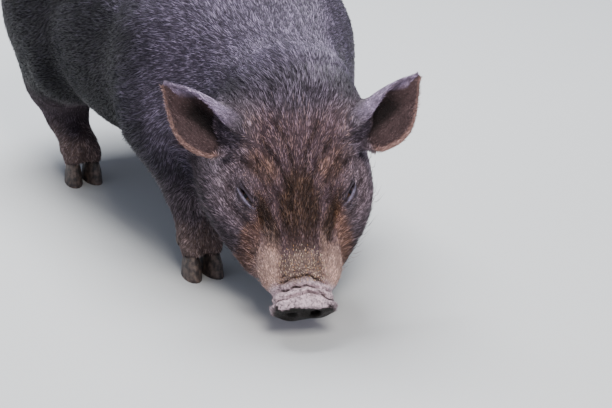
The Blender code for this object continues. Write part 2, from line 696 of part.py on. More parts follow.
def mouth_groove(collection):
    """A thin bent bar along the line of the mouth, half sunk in the lips."""
    turns = np.linspace(-math.pi / 2, math.pi / 2, 25)
    ahead = MOUTH_CORNER[1] * np.cos(turns) ** 0.8
    width = MOUTH_WIDTH[0] * (1 - MOUTH_WIDTH[1] * np.cos(turns))
    climb = MOUTH_HEIGHT[0] + MOUTH_HEIGHT[1] * ahead
    guess = np.stack((MOUTH_CORNER[0] + ahead, climb, width * np.sin(turns)), axis=1)
    axes, start = head_axes()
    points = settle(pig_form, guess @ axes + start, rounds=6)
    curve = bpy.data.curves.new("mouth", "CURVE")
    curve.dimensions = "3D"
    curve.bevel_depth = MOUTH_RADIUS
    curve.bevel_resolution = 1
    curve.use_fill_caps = True
    spline = curve.splines.new("POLY")
    spline.points.add(len(points) - 1)
    for point, place in zip(spline.points, points):
        point.co = (*place, 1.0)
    bar = add_object("mouth_bar", curve, collection)
    bpy.context.view_layer.update()
    shown = bar.evaluated_get(bpy.context.evaluated_depsgraph_get())
    shape = bmesh.new()
    shape.from_mesh(bpy.data.meshes.new_from_object(shown))
    bmesh.ops.remove_doubles(shape, verts=shape.verts, dist=1e-6)
    bmesh.ops.recalc_face_normals(shape, faces=shape.faces)
    groove = cutter(add_object("mouth_groove", mesh_from("mouth_groove", shape), collection))
    bpy.data.objects.remove(bar)
    return groove


def finish(obj, name):
    """Give an object its material, made on first use, and smooth shading."""
    material = bpy.data.materials.get(name)
    if material is None:
        colour, roughness = FINISHES[name]
        material = bpy.data.materials.new(name)
        material.use_nodes = True
        shader = material.node_tree.nodes["Principled BSDF"]
        shader.inputs["Base Color"].default_value = (*colour, 1.0)
        shader.inputs["Roughness"].default_value = roughness
        shader.inputs["Metallic"].default_value = 0.0
    obj.data.materials.clear()
    obj.data.materials.append(material)
    obj.data.shade_smooth()
    obj.data.set_sharp_from_angle(angle=math.radians(SHARP_ANGLE))


def leg_boxes(name, guides):
    """The box that holds one leg, and the box under its coronet where the claws go."""
    x, y, _ = FEET[name]
    side = math.copysign(1.0, x)
    behind, height, length, lean = LEG_TOPS[name.split("_")[0]]
    top = (side * (LEG_INNER + LEG_ROOM / 2), y + behind, height)
    leg = box(f"{name}_box", top, (0.0, lean, 1.0), (LEG_ROOM, length), height * 1.25, guides)
    point, up = coronet(name)
    foot = box(f"{name}_foot_box", point, up, FOOT_ROOM[:2], FOOT_ROOM[2], guides)
    return leg, foot


def ear_boxes(side, guides):
    """The box that holds one ear, behind a flat cut just off the head."""
    axes, _ = head_axes()
    turn = axes * np.array((1, 1, side))[:, None]
    axis = np.array(EAR_TIP) - np.array(EAR_ROOT)
    axis = axis / np.linalg.norm(axis)
    front = np.array(EAR_FRONT) - axis * (axis @ np.array(EAR_FRONT))
    front = front / np.linalg.norm(front)
    outwards = np.cross(front, axis)
    (inner, outer), (back, ahead) = EAR_ROOM
    middle = np.array(EAR_ROOT) + axis * EAR_CUT
    middle = middle + outwards * (inner + outer) / 2 + front * (back + ahead) / 2
    word = "left" if side > 0 else "right"
    return box(f"ear_{word}_box", from_head(middle, side), -(axis @ turn), (outer - inner, ahead - back),
               EAR_REACH, guides, along=outwards @ turn)


def build():
    """Make every piece of the pig."""
    for obj in list(bpy.data.objects):
        bpy.data.objects.remove(obj)
    pieces = bpy.data.collections.new("pot_bellied_pig")
    guides = bpy.data.collections.new("cutters")
    for collection in (pieces, guides):
        bpy.context.scene.collection.children.link(collection)
    axes, _ = head_axes()
    u, v, w = axes

    whole = net(pig_form, *BODY_ROOM, BODY_STEP)
    body = cutter(add_object("whole_body", mesh_of("whole_body", *whole), guides))
    decimate(body, BODY_TRIANGLES)
    whole = net(pig_form, *HEAD_ROOM, HEAD_STEP)
    face = cutter(add_object("whole_head", mesh_of("whole_head", *whole), guides))
    decimate(face, HEAD_TRIANGLES)

    legs = {name: leg_boxes(name, guides) for name in FEET}
    front_box = box("front_box", *NECK_CUT, NECK_ROOM[:2], NECK_ROOM[2], guides)
    lean = math.radians(HEAD_CUT_LEAN)
    ahead = u * math.sin(lean) + v * math.cos(lean)
    downwards = u * math.cos(lean) - v * math.sin(lean)
    middle = from_head((*HEAD_CUT, 0.0)) + downwards * HEAD_BOX_DROP
    head_box = box("head_box", middle, -ahead, (HEAD_BOX_SIZE, HEAD_BOX_SIZE), HEAD_BOX_SIZE,
                   guides, along=downwards)
    middle = from_head((SNOUT_CUT[0], SNOUT_CUT[1] + SNOUT_ROOM[1] / 2, 0.0))
    snout_box = box("snout_box", middle, -u, SNOUT_ROOM[:2], SNOUT_ROOM[2], guides, along=w)
    ears = {side: ear_boxes(side, guides) for side in (-1, 1)}
    mouth = mouth_groove(guides)

    made = {}
    torso_cuts = [front_box[1], head_box[1]] + [leg[1] for leg, _ in legs.values()]
    made["torso"] = (part("torso", body, pieces, take=torso_cuts), "hide_body")
    neck_cuts = [head_box[1], ears[-1][1], ears[1][1]]
    made["neck"] = (part("neck", body, pieces, keep=[front_box[0]], take=neck_cuts), "hide_neck")
    for name, (leg_box, foot_box) in legs.items():
        leg = part(f"leg_{name}", body, pieces, keep=[leg_box[0]], take=[foot_box[0]])
        made[leg.name] = (leg, "hide_leg")
        for claw in claws(name, pieces) + dewclaws(name, leg, pieces, guides):
            made[claw.name] = (claw, "horn_claw")

    socket_cuts = []
    for side, word in ((-1, "right"), (1, "left")):
        place = eye_matrix(side)
        eye = egg(f"eye_{word}", place, (EYE_RADIUS,) * 3, pieces, rings=8)
        made[eye.name] = (eye, "eye_wet")
        socket = egg(f"socket_{word}", place, (EYE_RADIUS + GAP,) * 3, guides)
        ahead = Matrix.Translation((0.0, 0.0, EYE_RADIUS))
        slit = egg(f"slit_{word}", place @ ahead, SLIT_RADII, guides)
        socket_cuts += [cutter(slit), cutter(socket)]
        ear = part(f"ear_{word}", face, pieces, keep=[ears[side][0]])
        made[ear.name] = (ear, "hide_ear")
    head_cuts = [snout_box[1], ears[-1][1], ears[1][1], mouth] + socket_cuts
    made["head"] = (part("head", face, pieces, keep=[head_box[0]], take=head_cuts), "hide_head")

    nostrils = []
    (nostril_v, nostril_w), (radius_v, radius_w) = NOSTRIL
    for side in (-1, 1):
        turn = Matrix(axes.tolist()).transposed().to_4x4()
        place = Matrix.Translation(from_head((HEAD_LENGTH, nostril_v, nostril_w), side)) @ turn
        nostril = egg(f"nostril_{side}", place, (NOSTRIL_DEPTH, radius_v, radius_w), guides)
        nostrils.append(cutter(nostril))
    made["snout"] = (part("snout", face, pieces, keep=[snout_box[0]], take=[mouth] + nostrils), "hide_snout")

    whole = net(tail_form, *TAIL_ROOM, TAIL_STEP)
    limb = cutter(add_object("whole_tail", mesh_of("whole_tail", *whole), guides))
    decimate(limb, TAIL_TRIANGLES)
    tail = part("tail", limb, pieces, take=[swollen(made["torso"][0], guides)])
    add_tuft(tail, guides)
    made["tail"] = (tail, "hide_tail")

    for obj, name in made.values():
        finish(obj, name)
    centre_on_floor([obj for obj, _ in made.values()])


def centre_on_floor(objects):
    """Hang all pieces on one empty that puts the middle of their box over the origin."""
    corners = np.array([obj.matrix_world @ Vector(corner) for obj in objects for corner in obj.bound_box])
    low = corners.min(axis=0)
    high = corners.max(axis=0)
    anchor = bpy.data.objects.new("pig", None)
    bpy.context.scene.collection.objects.link(anchor)
    anchor.location = (-(low[0] + high[0]) / 2, -(low[1] + high[1]) / 2, -low[2])
    for obj in objects:
        obj.parent = anchor


if __name__ == "__main__":
    build()
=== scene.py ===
"""The looks of a life-size still model of a young pot-bellied pig that drinks.

Lengths are in metres. The flesh is worked out in a frame of its own, in which the pig faces -Y
and its soles stand at z = 0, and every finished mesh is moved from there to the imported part.
"""

import math
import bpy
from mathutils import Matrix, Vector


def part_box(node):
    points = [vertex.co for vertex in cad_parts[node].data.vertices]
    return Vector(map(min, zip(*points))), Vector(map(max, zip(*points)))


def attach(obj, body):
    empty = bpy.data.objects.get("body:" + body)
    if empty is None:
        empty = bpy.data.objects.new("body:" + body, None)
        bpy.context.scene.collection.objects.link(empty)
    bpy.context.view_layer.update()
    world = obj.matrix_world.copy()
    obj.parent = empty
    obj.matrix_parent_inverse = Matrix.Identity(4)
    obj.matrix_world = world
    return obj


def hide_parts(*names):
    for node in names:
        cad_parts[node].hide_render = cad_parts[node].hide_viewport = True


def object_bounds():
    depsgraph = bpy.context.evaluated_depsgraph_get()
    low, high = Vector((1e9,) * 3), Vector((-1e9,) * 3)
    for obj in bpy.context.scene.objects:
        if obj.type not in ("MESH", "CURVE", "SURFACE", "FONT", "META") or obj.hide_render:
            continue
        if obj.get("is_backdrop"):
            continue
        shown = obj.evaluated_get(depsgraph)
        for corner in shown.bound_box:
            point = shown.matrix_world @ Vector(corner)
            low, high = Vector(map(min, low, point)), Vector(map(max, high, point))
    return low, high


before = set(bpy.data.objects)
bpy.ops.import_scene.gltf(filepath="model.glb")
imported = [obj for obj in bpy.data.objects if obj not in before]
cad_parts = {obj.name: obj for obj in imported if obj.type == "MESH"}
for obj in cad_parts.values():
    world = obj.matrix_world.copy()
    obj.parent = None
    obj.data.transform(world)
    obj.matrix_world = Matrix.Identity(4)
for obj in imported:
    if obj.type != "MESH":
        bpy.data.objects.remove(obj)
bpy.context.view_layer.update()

from concurrent.futures import ThreadPoolExecutor

import bmesh
import bpy
import numpy as np
from mathutils import Matrix, Vector


# Stage: a plain pale floor under soft light from above, seen from in front of the pig, a little
# to its right and above its head, through a long lens.
VIEW_TURN = -25.693             # degrees round the pig from straight ahead, to its right
VIEW_RISE = 19.903              # degrees above the floor
VIEW_DISTANCE = 3.0
PICTURE_WIDTH = 36.0            # millimetres, in the camera
FOCAL_LENGTH = 155.09           # millimetres
AIM_FROM_EYE = (0.03065, 0.15554, -0.06645)     # the middle of the view, from the left eyeball's
FLOOR_REACH = 8.0
FLOOR_COLOUR = (0.60, 0.60, 0.59)
SKY_COLOUR = (0.72, 0.80, 1.0)
SKY_STRENGTH = 0.50
# Place, what it faces, size, watts and colour of each soft panel of light
PANELS = (
    ((0.1, 0.9, 2.2), (0.0, 0.0, 0.25), 1.5, 118.0, (0.93, 0.96, 1.0)),
    ((-0.4, -2.2, 2.1), (0.0, -0.3, 0.15), 1.0, 84.0, (1.0, 0.97, 0.93)),
)


class Port:
    """A socket that a material's nodes give out; sums of ports and numbers add Math nodes."""

    def __init__(self, finish, socket):
        self.finish = finish
        self.socket = socket

    def maths(self, operation, *values):
        return self.finish.add("ShaderNodeMath", {"operation": operation}, *values)

    def __add__(self, other):
        return self.maths("ADD", self, other)

    def __sub__(self, other):
        return self.maths("SUBTRACT", self, other)

    def __rsub__(self, other):
        return self.maths("SUBTRACT", other, self)

    def __mul__(self, other):
        return self.maths("MULTIPLY", self, other)

    __radd__ = __add__
    __rmul__ = __mul__


class Finish:
    """A material and its nodes, which feed one Principled shader."""

    def __init__(self, name, roughness=0.5):
        self.material = bpy.data.materials.new(name)
        self.material.use_nodes = True
        self.tree = self.material.node_tree
        self.shader = self.tree.nodes["Principled BSDF"]
        self.shader.inputs["Roughness"].default_value = roughness

    def put(self, socket, value):
        """Link a port to a socket, or set the socket to a number or a colour."""
        if isinstance(value, Port):
            self.tree.links.new(value.socket, socket)
        elif socket.type == "RGBA" and np.size(value) == 3:
            socket.default_value = (*value, 1.0)
        else:
            socket.default_value = value

    def add(self, kind, settings=None, *values, out=0, **named):
        """Add a node, set it up, feed its sockets in order or by name, and give one of its outputs."""
        node = self.tree.nodes.new(kind)
        for key, value in (settings or {}).items():
            if key == "stops":
                for element, (place, grey) in zip(node.color_ramp.elements, value):
                    element.position = place
                    element.color = (grey, grey, grey, 1.0)
            else:
                setattr(node, key, value)
        for socket, value in zip(node.inputs, values):
            if value is not None:
                self.put(socket, value)
        for key, value in named.items():
            self.put(node.inputs[key.replace("_", " ")], value)
        return Port(self, node.outputs[out])

    def feed(self, **sockets):
        """Feed the shader's own sockets."""
        for key, value in sockets.items():
            self.put(self.shader.inputs[key.replace("_", " ")], value)

    def place(self):
        """The place on the piece, in metres."""
        return self.add("ShaderNodeTexCoord", out="Object")

    def noise(self, scale, detail=2.0, place=None):
        """Cloudy noise between 0 and 1, with so many clouds in a metre."""
        return self.add("ShaderNodeTexNoise", None, Vector=place or self.place(), Scale=scale, Detail=detail)

    def attribute(self, name, out="Fac"):
        """A value stored on the mesh's points."""
        return self.add("ShaderNodeAttribute", {"attribute_name": name}, out=out)

    def mix(self, share, first, second, blend="MIX"):
        """A colour between two colours."""
        node = self.tree.nodes.new("ShaderNodeMix")
        node.data_type = "RGBA"
        node.blend_type = blend
        for socket, value in zip((node.inputs[0], node.inputs[6], node.inputs[7]), (share, first, second)):
            self.put(socket, value)
        return Port(self, node.outputs[2])

    def ramp(self, value, *stops):
        """A grey read off a ramp between two stops, each a place and how light it is."""
        return self.add("ShaderNodeValToRGB", {"stops": stops}, value)

    def step(self, value, low, high):
        """0 under low, 1 over high, smooth between."""
        return self.add("ShaderNodeMapRange", {"interpolation_type": "SMOOTHSTEP"}, value, low, high)

    def bump(self, height, depth, strength=1.0):
        """A normal tilted by a height map that is so many metres deep."""
        return self.add("ShaderNodeBump", None, Height=height, Distance=depth, Strength=strength)


def show(name, mesh, material):
    """Put a mesh in the scene as an object with a material."""
    piece = bpy.data.objects.new(name, mesh)
    bpy.context.scene.collection.objects.link(piece)
    mesh.materials.append(material)
    return piece


def mesh_of(name, verts, faces):
    """A smooth mesh from arrays of points and faces."""
    mesh = bpy.data.meshes.new(name)
    mesh.from_pydata(verts.tolist(), [], faces.tolist())
    mesh.shade_smooth()
    return mesh


paper = Finish("pale_floor", 0.7)
mottle = paper.noise(3.0, 3.0)
paper.feed(Base_Color=paper.mix(mottle * 0.3, FLOOR_COLOUR, 0.93 * np.array(FLOOR_COLOUR)))
corners = FLOOR_REACH * np.array(((-1, -1, 0), (1, -1, 0), (1, 1, 0), (-1, 1, 0)))
floor = show("floor", mesh_of("floor", corners, np.array(((0, 1, 2, 3),))), paper.material)
floor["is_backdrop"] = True

low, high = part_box("eye_left")
left_eye = np.array((low + high) / 2)
turn, rise = math.radians(VIEW_TURN), math.radians(VIEW_RISE)
back = Vector((math.sin(turn) * math.cos(rise), -math.cos(turn) * math.cos(rise), math.sin(rise)))
right = Vector((math.cos(turn), math.sin(turn), 0.0))
aim = Vector(left_eye) + Vector(AIM_FROM_EYE)
camera = bpy.data.objects.new("camera", bpy.data.cameras.new("camera"))
camera.data.sensor_width = PICTURE_WIDTH
camera.data.lens = FOCAL_LENGTH
camera.matrix_world = (
    Matrix.Translation(aim + back * VIEW_DISTANCE)
    @ Matrix((right, back.cross(right), back)).transposed().to_4x4()
)
bpy.context.scene.collection.objects.link(camera)
bpy.context.scene.camera = camera

world = bpy.data.worlds.new("studio")
world.use_nodes = True
world.node_tree.nodes["Background"].inputs["Color"].default_value = (*SKY_COLOUR, 1.0)
world.node_tree.nodes["Background"].inputs["Strength"].default_value = SKY_STRENGTH
bpy.context.scene.world = world
for spot, target, size, power, colour in PANELS:
    panel = bpy.data.lights.new("panel", "AREA")
    panel.size = size
    panel.energy = power
    panel.color = colour
    lamp = bpy.data.objects.new("panel", panel)
    lamp.location = spot
    lamp.rotation_euler = (Vector(spot) - Vector(target)).to_track_quat("Z", "Y").to_euler()
    bpy.context.scene.collection.objects.link(lamp)


# Skin: the whole hide in one piece, from the snout's disc to the tail, over the feet's coronets.
# It is the zero surface of a sum of ellipsoids and tapered bars, inset by the depth of the coat,
# with the head's folds, grooves, nostrils and mouth line cut into it.
SKIN_STEP = 0.002               # grid of the net
SKIN_BOX = ((-0.18, -0.44, 0.004), (0.17, 0.436, 0.364))
SKIN_TRIANGLES = 160000         # before the snout and the eyelids are divided once more
SLICE = 12000                   # points that are worked out in one go
WORKERS = 4
FINE_SNOUT = 0.186              # u where the finer skin of the snout starts
FINE_LIDS = 0.022               # how far it reaches from the middle of an eye
# Two masses melt together where their surfaces are closer than the BLEND that joins them. Masses
# are given by centre and radii, and bars by their ends and the radii there
TORSO = (
    ((0.0, -0.095, 0.232), (0.122, 0.132, 0.113)),
    ((-0.003, 0.068, 0.206), (0.142, 0.234, 0.123)),
    ((-0.008, 0.254, 0.226), (0.129, 0.121, 0.110)),
)
TORSO_BLEND = 0.06
NECK = ((0.0, -0.130, 0.240), (-0.014, -0.262, 0.222), 0.100, 0.071)
THROAT = ((-0.020, -0.222, 0.134), (0.076, 0.072, 0.074))
THROAT_BLEND = 0.04
NECK_BLEND = 0.05
HEAD_BLEND = 0.05

# Middle of each foot, and the joints of the left legs, which are mirrored for the right ones
FEET = {
    "front_right": (-0.080, -0.172),
    "front_left": (0.083, -0.150),
    "hind_right": (-0.086, 0.186),
    "hind_left": (0.083, 0.230),
}
SHOULDER = ((0.084, -0.100, 0.222), (0.050, 0.066, 0.088))
ELBOW = ((0.098, -0.108, 0.158), 0.038)
KNEE_HEIGHT = 0.088
HAM = ((0.080, 0.264, 0.198), (0.064, 0.098, 0.100))
STIFLE = ((0.102, 0.180, 0.150), 0.042)
HOCK = (0.076, 0.102)               # behind the foot, height
CANNON_DROP = (0.026, 0.028)        # of the cannon's top under the knee and under the hock
FETLOCK_HEIGHT = 0.042
FORE_RADII = (0.0215, 0.0175, 0.0205, 0.0175)   # knee, cannon, fetlock, foot
HIND_RADII = (0.0300, 0.0240, 0.0205, 0.0175)   # hock, cannon, fetlock, foot
THIGH_BLEND = 0.05
JOINT_BLEND = 0.012
LEG_BLEND = 0.04
CORONET = (0.024, 0.22)             # height of the flesh's edge at the foot's middle, and its slope
CLAW_GAP = 0.0003                   # between that edge and the claws
CLAW_SPACING = 0.0123               # of the two claws from the foot's middle
TOE_RADII = (0.0138, 0.0212, 0.0180)
TOE_PLACE = (0.004, 0.006)          # ahead of the foot's middle, and over its coronet
TOE_BLEND = 0.006

TAIL_PATH = (
    (0.0, 0.345, 0.285),
    (0.0, 0.382, 0.283),
    (0.004, 0.402, 0.250),
    (0.008, 0.409, 0.205),
    (0.010, 0.408, 0.168),
)
TAIL_RADII = (0.019, 0.0125, 0.0095, 0.0075, 0.0055)
TAIL_BLENDS = (0.010, 0.014)        # of its lengths with each other, and with the rump

HEAD_TURN = 19.0                    # degrees to the pig's right
HEAD_DOWN = 55.0                    # degrees below the horizontal
DISC_CENTRE = (-0.060, -0.404, 0.0334)
HEAD_LENGTH = 0.233                 # from the poll to the disc
HEAD_SEAM = 0.003                   # least half width, which rounds the head where its halves meet
# Distance along u, half width, top and bottom of the plain head
HEAD_SECTIONS = (
    (-0.030, 0.050, 0.030, -0.070),
    (0.000, 0.060, 0.047, -0.088),
    (0.040, 0.066, 0.054, -0.098),
    (0.070, 0.064, 0.050, -0.100),
    (0.100, 0.056, 0.039, -0.094),
    (0.130, 0.046, 0.029, -0.082),
    (0.160, 0.038, 0.023, -0.066),
    (0.185, 0.0325, 0.0195, -0.050),
    (0.205, 0.0290, 0.0185, -0.036),
    (0.222, 0.0320, 0.0205, -0.026),
    (0.232, 0.0345, 0.0225, -0.024),
)
HEAD_SLIPS = (-0.014, 0.0, 0.014)       # sections are averaged over these, to round the head
# Masses that stand out of the plain head, left side: centre, radii and blend
HEAD_MASSES = (
    ((0.084, -0.044, 0.040), (0.066, 0.056, 0.048), 0.030),     # cheek
    ((0.128, -0.066, 0.034), (0.052, 0.034, 0.032), 0.022),     # jowl
    ((0.088, 0.020, 0.040), (0.026, 0.018, 0.020), 0.018),      # brow
    ((0.108, 0.004, 0.046), (0.019, 0.017, 0.015), 0.010),      # lids
    ((0.030, 0.026, 0.056), (0.022, 0.022, 0.024), 0.022),      # mound that carries the ear
    ((0.176, -0.014, 0.028), (0.030, 0.021, 0.019), 0.012),     # upper lip
    ((0.196, -0.040, 0.000), (0.020, 0.012, 0.019), 0.008),     # chin
)
DISC_RADII = (0.021, 0.031, 0.036)      # up, down and to each side
DISC_TILT = 9.0                         # degrees that its face turns up
DISC_DEPTH = 0.011
DISC_ROUND = 0.004                      # radius of its edges
DISC_BLEND = 0.006
FOLDS = (0.2140, 0.0200)                # middle and half length of the folds, along u
FOLD_SPACING = 0.0088
FOLD_ARCH = 0.0055                      # how far their middles arch up the snout
FOLD_DEPTH = 0.0066
MUZZLE_GROOVE = ((0.124, 0.040), (0.146, 0.033), (0.170, 0.0255), (0.190, 0.0205), (0.202, 0.0225))
NOSTRIL = ((0.2335, -0.003, 0.0130), (0.012, 0.0072, 0.0048))
NOSTRIL_BLEND = 0.004
# Grooves in the skin of the face, left side: u and w of their points, depth and width
WRINKLES = (
    (MUZZLE_GROOVE, 0.0030, 0.0046),
    (((0.056, 0.036), (0.080, 0.021), (0.104, 0.011), (0.128, 0.008)), 0.0032, 0.0034),
    (((0.074, 0.044), (0.094, 0.031), (0.118, 0.020), (0.142, 0.015)), 0.0030, 0.0032),
    (((0.040, 0.022), (0.066, 0.010), (0.090, 0.0050)), 0.0018, 0.0030),
    (((0.070, 0.058), (0.084, 0.046), (0.100, 0.037), (0.118, 0.030)), 0.0030, 0.0032),
    (((0.1215, 0.0440), (0.1290, 0.0390)), 0.0024, 0.0022),
    (((0.0965, 0.0670), (0.0900, 0.0720)), 0.0018, 0.0022),
    (((0.096, 0.079), (0.110, 0.071), (0.124, 0.059), (0.136, 0.050)), 0.0018, 0.0030),
    (((0.128, 0.056), (0.140, 0.046), (0.150, 0.042), (0.166, 0.042)), 0.0012, 0.0034),
    (((0.172, 0.020), (0.180, 0.010), (0.184, 0.0)), 0.0007, 0.0024),
    (((0.184, 0.020), (0.192, 0.010), (0.195, 0.0)), 0.0008, 0.0022),
)
# The line of the mouth: u of its corners and how much further it runs ahead, v there and its
# climb, the half width at the corners and how much of that is lost in the middle
MOUTH_CORNER = (0.128, 0.080)
MOUTH_HEIGHT = (-0.046, 0.22)
MOUTH_WIDTH = (0.046, 0.35)
MOUTH_RADIUS = 0.0013
CUT_BLEND = 0.0015                      # of the edges of the mouth and of the eyes' openings

EYE_CENTRE = (0.108, 0.0112, 0.0495)
EYE_RADIUS = 0.0110
EYE_OUT = (0.0, 0.80, 0.60)             # the way that it looks, in u, v and w
EYE_SLANT = 32.0                        # degrees that the slit turns from the head's length
LID_DEPTH = (0.0017, 0.010)             # of the skin over the ball, and how far it melts into the face
OPENING = (0.0116, 0.0034, 0.004)       # half length, half height and floor of the hole under the lids

EAR_ROOT = (0.040, 0.016, 0.068)
EAR_TIP = (-0.0155, 0.0348, 0.1376)
EAR_FRONT = (0.10, 1.0, 0.30)       # the way that its cup opens
# Shares of the ear's length, and the width and the bend in radians of its two sides at each
EAR_STATIONS = (-0.16, -0.06, 0.0, 0.2, 0.4, 0.6, 0.8, 1.0)
EAR_OUTER = ((0.008, 1.30), (0.024, 1.25), (0.034, 1.10), (0.041, 0.90),
             (0.042, 0.75), (0.034, 0.65), (0.019, 0.55), (0.0010, 0.50))
EAR_INNER = ((0.042, 2.30), (0.048, 2.60), (0.052, 2.75), (0.053, 2.70),
             (0.044, 2.40), (0.030, 1.95), (0.014, 1.45), (0.0010, 1.00))
EAR_SLIPS = (-0.07, 0.0, 0.07)      # stations are averaged over these, to round the rims
EAR_THICKNESS = (0.0060, 0.0032)    # at its root and its tip
EAR_BLEND = 0.012

BODY_COAT = 0.0030                      # how deep the skin lies under the solids' surface
LESS_COAT = (0.0018, 0.0009)            # how much less that is on the head, and again on the snout
EAR_COAT = 0.0003
FOOT_COAT = (0.0008, 0.0022)            # on the feet, and how much more further up the legs
FOOT_INSET = 0.0034                     # how much deeper it lies just above the claws


def ball(p, centre, radii):
    """Distance to an ellipsoid, nearly exact by its surface: k (k - 1) / |q / r^2|, k = |q / r|."""
    q = p - np.array(centre)
    r = np.array(radii)
    k = np.maximum(np.linalg.norm(q / r, axis=1), 1e-6)
    return k * (k - 1) / np.maximum(np.linalg.norm(q / r ** 2, axis=1), 1e-6)


def off_line(p, start, end):
    """How far points are from the line from start to end, and the share of it that they are along."""
    start = np.array(start)
    axis = np.array(end) - start
    t = np.clip((p - start) @ axis / (axis @ axis), 0, 1)
    return np.linalg.norm(p - start - t[:, None] * axis, axis=1), t


def bone(p, start, end, start_radius, end_radius):
    """Distance to a round bar from start to end whose radius changes evenly along it."""
    gap, t = off_line(p, start, end)
    return gap - (start_radius + t * (end_radius - start_radius))


def join(a, b, blend):
    """Union of two forms that melt together where their surfaces are closer than blend."""
    h = np.maximum(blend - np.abs(a - b), 0) / blend
    return np.minimum(a, b) - h * h * blend / 4


def chain(p, points, radii, blend):
    """Bones laid end to end through the points."""
    links = [bone(p, *points[i:i + 2], *radii[i:i + 2]) for i in range(len(points) - 1)]
    form = links[0]
    for link in links[1:]:
        form = join(form, link, blend)
    return form


def unit(vector):
    """The vector at length 1, or a row of vectors each at length 1."""
    return vector / np.maximum(np.linalg.norm(vector, axis=-1, keepdims=True), 1e-9)


def soft(x, low, high):
    """0 at low and 1 at high with a smooth rise between, or the other way round."""
    t = np.clip((x - low) / (high - low), 0, 1)
    return t * t * (3 - 2 * t)


# The head's frame: rows are u from the poll to the snout, v out of the forehead, w to its left
turn, down = math.radians(HEAD_TURN), math.radians(HEAD_DOWN)
ahead = np.array((-math.sin(turn), -math.cos(turn), 0.0))
head_u = ahead * math.cos(down) - np.array((0.0, 0.0, math.sin(down)))
head_v = ahead * math.sin(down) + np.array((0.0, 0.0, math.cos(down)))
HEAD = np.array((head_u, head_v, np.cross(head_v, head_u)))
POLL = np.array(DISC_CENTRE) - head_u * HEAD_LENGTH
shift = left_eye - (POLL + np.array(EYE_CENTRE) @ HEAD)


def in_head(p):
    """The pig's points in the head's frame."""
    return (p - POLL) @ HEAD.T


def folded(q):
    """Points in the head's frame, those on its right side mirrored to its left."""
    return np.stack((q[:, 0], q[:, 1], np.abs(q[:, 2])), axis=1)


def by_disc(u, v):
    """How far places are ahead of the snout's disc, and how far up its tilted face."""
    tilt = math.radians(DISC_TILT)
    ahead = (u - HEAD_LENGTH) * math.cos(tilt) + v * math.sin(tilt)
    return ahead, v * math.cos(tilt) - (u - HEAD_LENGTH) * math.sin(tilt)


# The ear's frame in the head's: along it, the way its cup opens, and outwards across it
ear_length = np.linalg.norm(np.array(EAR_TIP) - EAR_ROOT)
ear_axis = unit(np.array(EAR_TIP) - EAR_ROOT)
ear_front = np.array(EAR_FRONT)
ear_front = unit(ear_front - ear_axis * (ear_front @ ear_axis))
ear_out = np.cross(ear_front, ear_axis)

# The left eye's frame in the head's: along the slit, across the lids and out of the head
eye_out = unit(np.array(EYE_OUT))
eye_in = unit(np.array((0.0, 0.0, 1.0)) - eye_out * eye_out[2])
slant = math.radians(EYE_SLANT)
eye_slit = unit(np.array((1.0, 0.0, 0.0)) - eye_out * eye_out[0]) * math.cos(slant) - eye_in * math.sin(slant)
eye_slit = unit(eye_slit - eye_out * (eye_slit @ eye_out))
EYE = np.array((eye_slit, np.cross(eye_out, eye_slit), eye_out))


def ear_place(q):
    """Where points lie on the left ear: distance to its leaf, share of its length, how far they
    are from its rim, and which face they are on, 1 for the cup and -1 for the back.

    Each section across the ear is two arcs that leave the same lowest point, a wide one to the
    outer rim and a tight one that rolls over to the inner rim.
    """
    s = (q - EAR_ROOT) @ ear_axis / ear_length
    t = np.clip(s, EAR_STATIONS[0], 1)
    x = (q - EAR_ROOT) @ ear_out
    y = (q - EAR_ROOT) @ ear_front
    near = rim = face = None
    for side, sizes in ((1, EAR_OUTER), (-1, EAR_INNER)):
        width, bend = (
            sum(np.interp(t + slip, EAR_STATIONS, size) for slip in EAR_SLIPS) / len(EAR_SLIPS)
            for size in zip(*sizes)
        )
        radius = width / bend
        bearing = np.arctan2(side * x, radius - y)
        bearing = np.clip(np.where(bearing < -math.pi / 2, math.pi, bearing), 0, bend)
        across = side * x - radius * np.sin(bearing)
        above = y - radius * (1 - np.cos(bearing))
        flat = np.hypot(across, above)
        cup = np.sign(radius - np.hypot(x, radius - y))
        if near is None:
            near, rim, face = flat, (bend - bearing) * radius, cup
        else:
            closer = flat < near
            near = np.where(closer, flat, near)
            rim = np.where(closer, (bend - bearing) * radius, rim)
            face = np.where(closer, cup, face)
    return np.hypot(near, (s - t) * ear_length), s, rim, face


def ear_form(q):
    """The ear: its leaf with a thickness that falls from root to tip."""
    near, s, _, _ = ear_place(q)
    return near - np.interp(s, (0, 1), EAR_THICKNESS) / 2


def groove(u, w, points, depth, width):
    """How deep a rounded groove along a line of points in the u, w plane is at each place."""
    place = np.stack((u, w), axis=1)
    near = np.min([off_line(place, *ends)[0] for ends in zip(points[:-1], points[1:])], axis=0)
    return depth * np.exp(-(near / width) ** 2)


def snout_folds(u, v, w):
    """How strong the snout's folds are at each place, and their rounded rolls from -0.6 to 0.4.

    The rolls are the size of a sine across the snout, arched towards the forehead, and they
    wander and change their width from one side to the other.
    """
    arch = FOLD_ARCH * (1 - (w / DISC_RADII[2]) ** 2)
    arch = arch + 0.0012 * np.sin(w * 150 + 1.2) + 0.0006 * np.sin(w * 430)
    along = (u + arch - FOLDS[0]) / FOLD_SPACING + 0.16 * np.sin(w * 95 + u * 260)
    reach = np.clip(1 - np.abs((u + arch - FOLDS[0]) / FOLDS[1]), 0, 1)
    upper = soft(np.abs(w), 0.034, 0.022) + (1 - soft(np.abs(w), 0.034, 0.022)) * soft(along, -0.9, -0.2)
    amount = np.minimum(2.2 * reach, 1) * np.clip((v + 0.012) / 0.02, 0, 1) * upper
    return amount, np.sqrt(np.sin(math.pi * along) ** 2 + 0.006) - 0.60


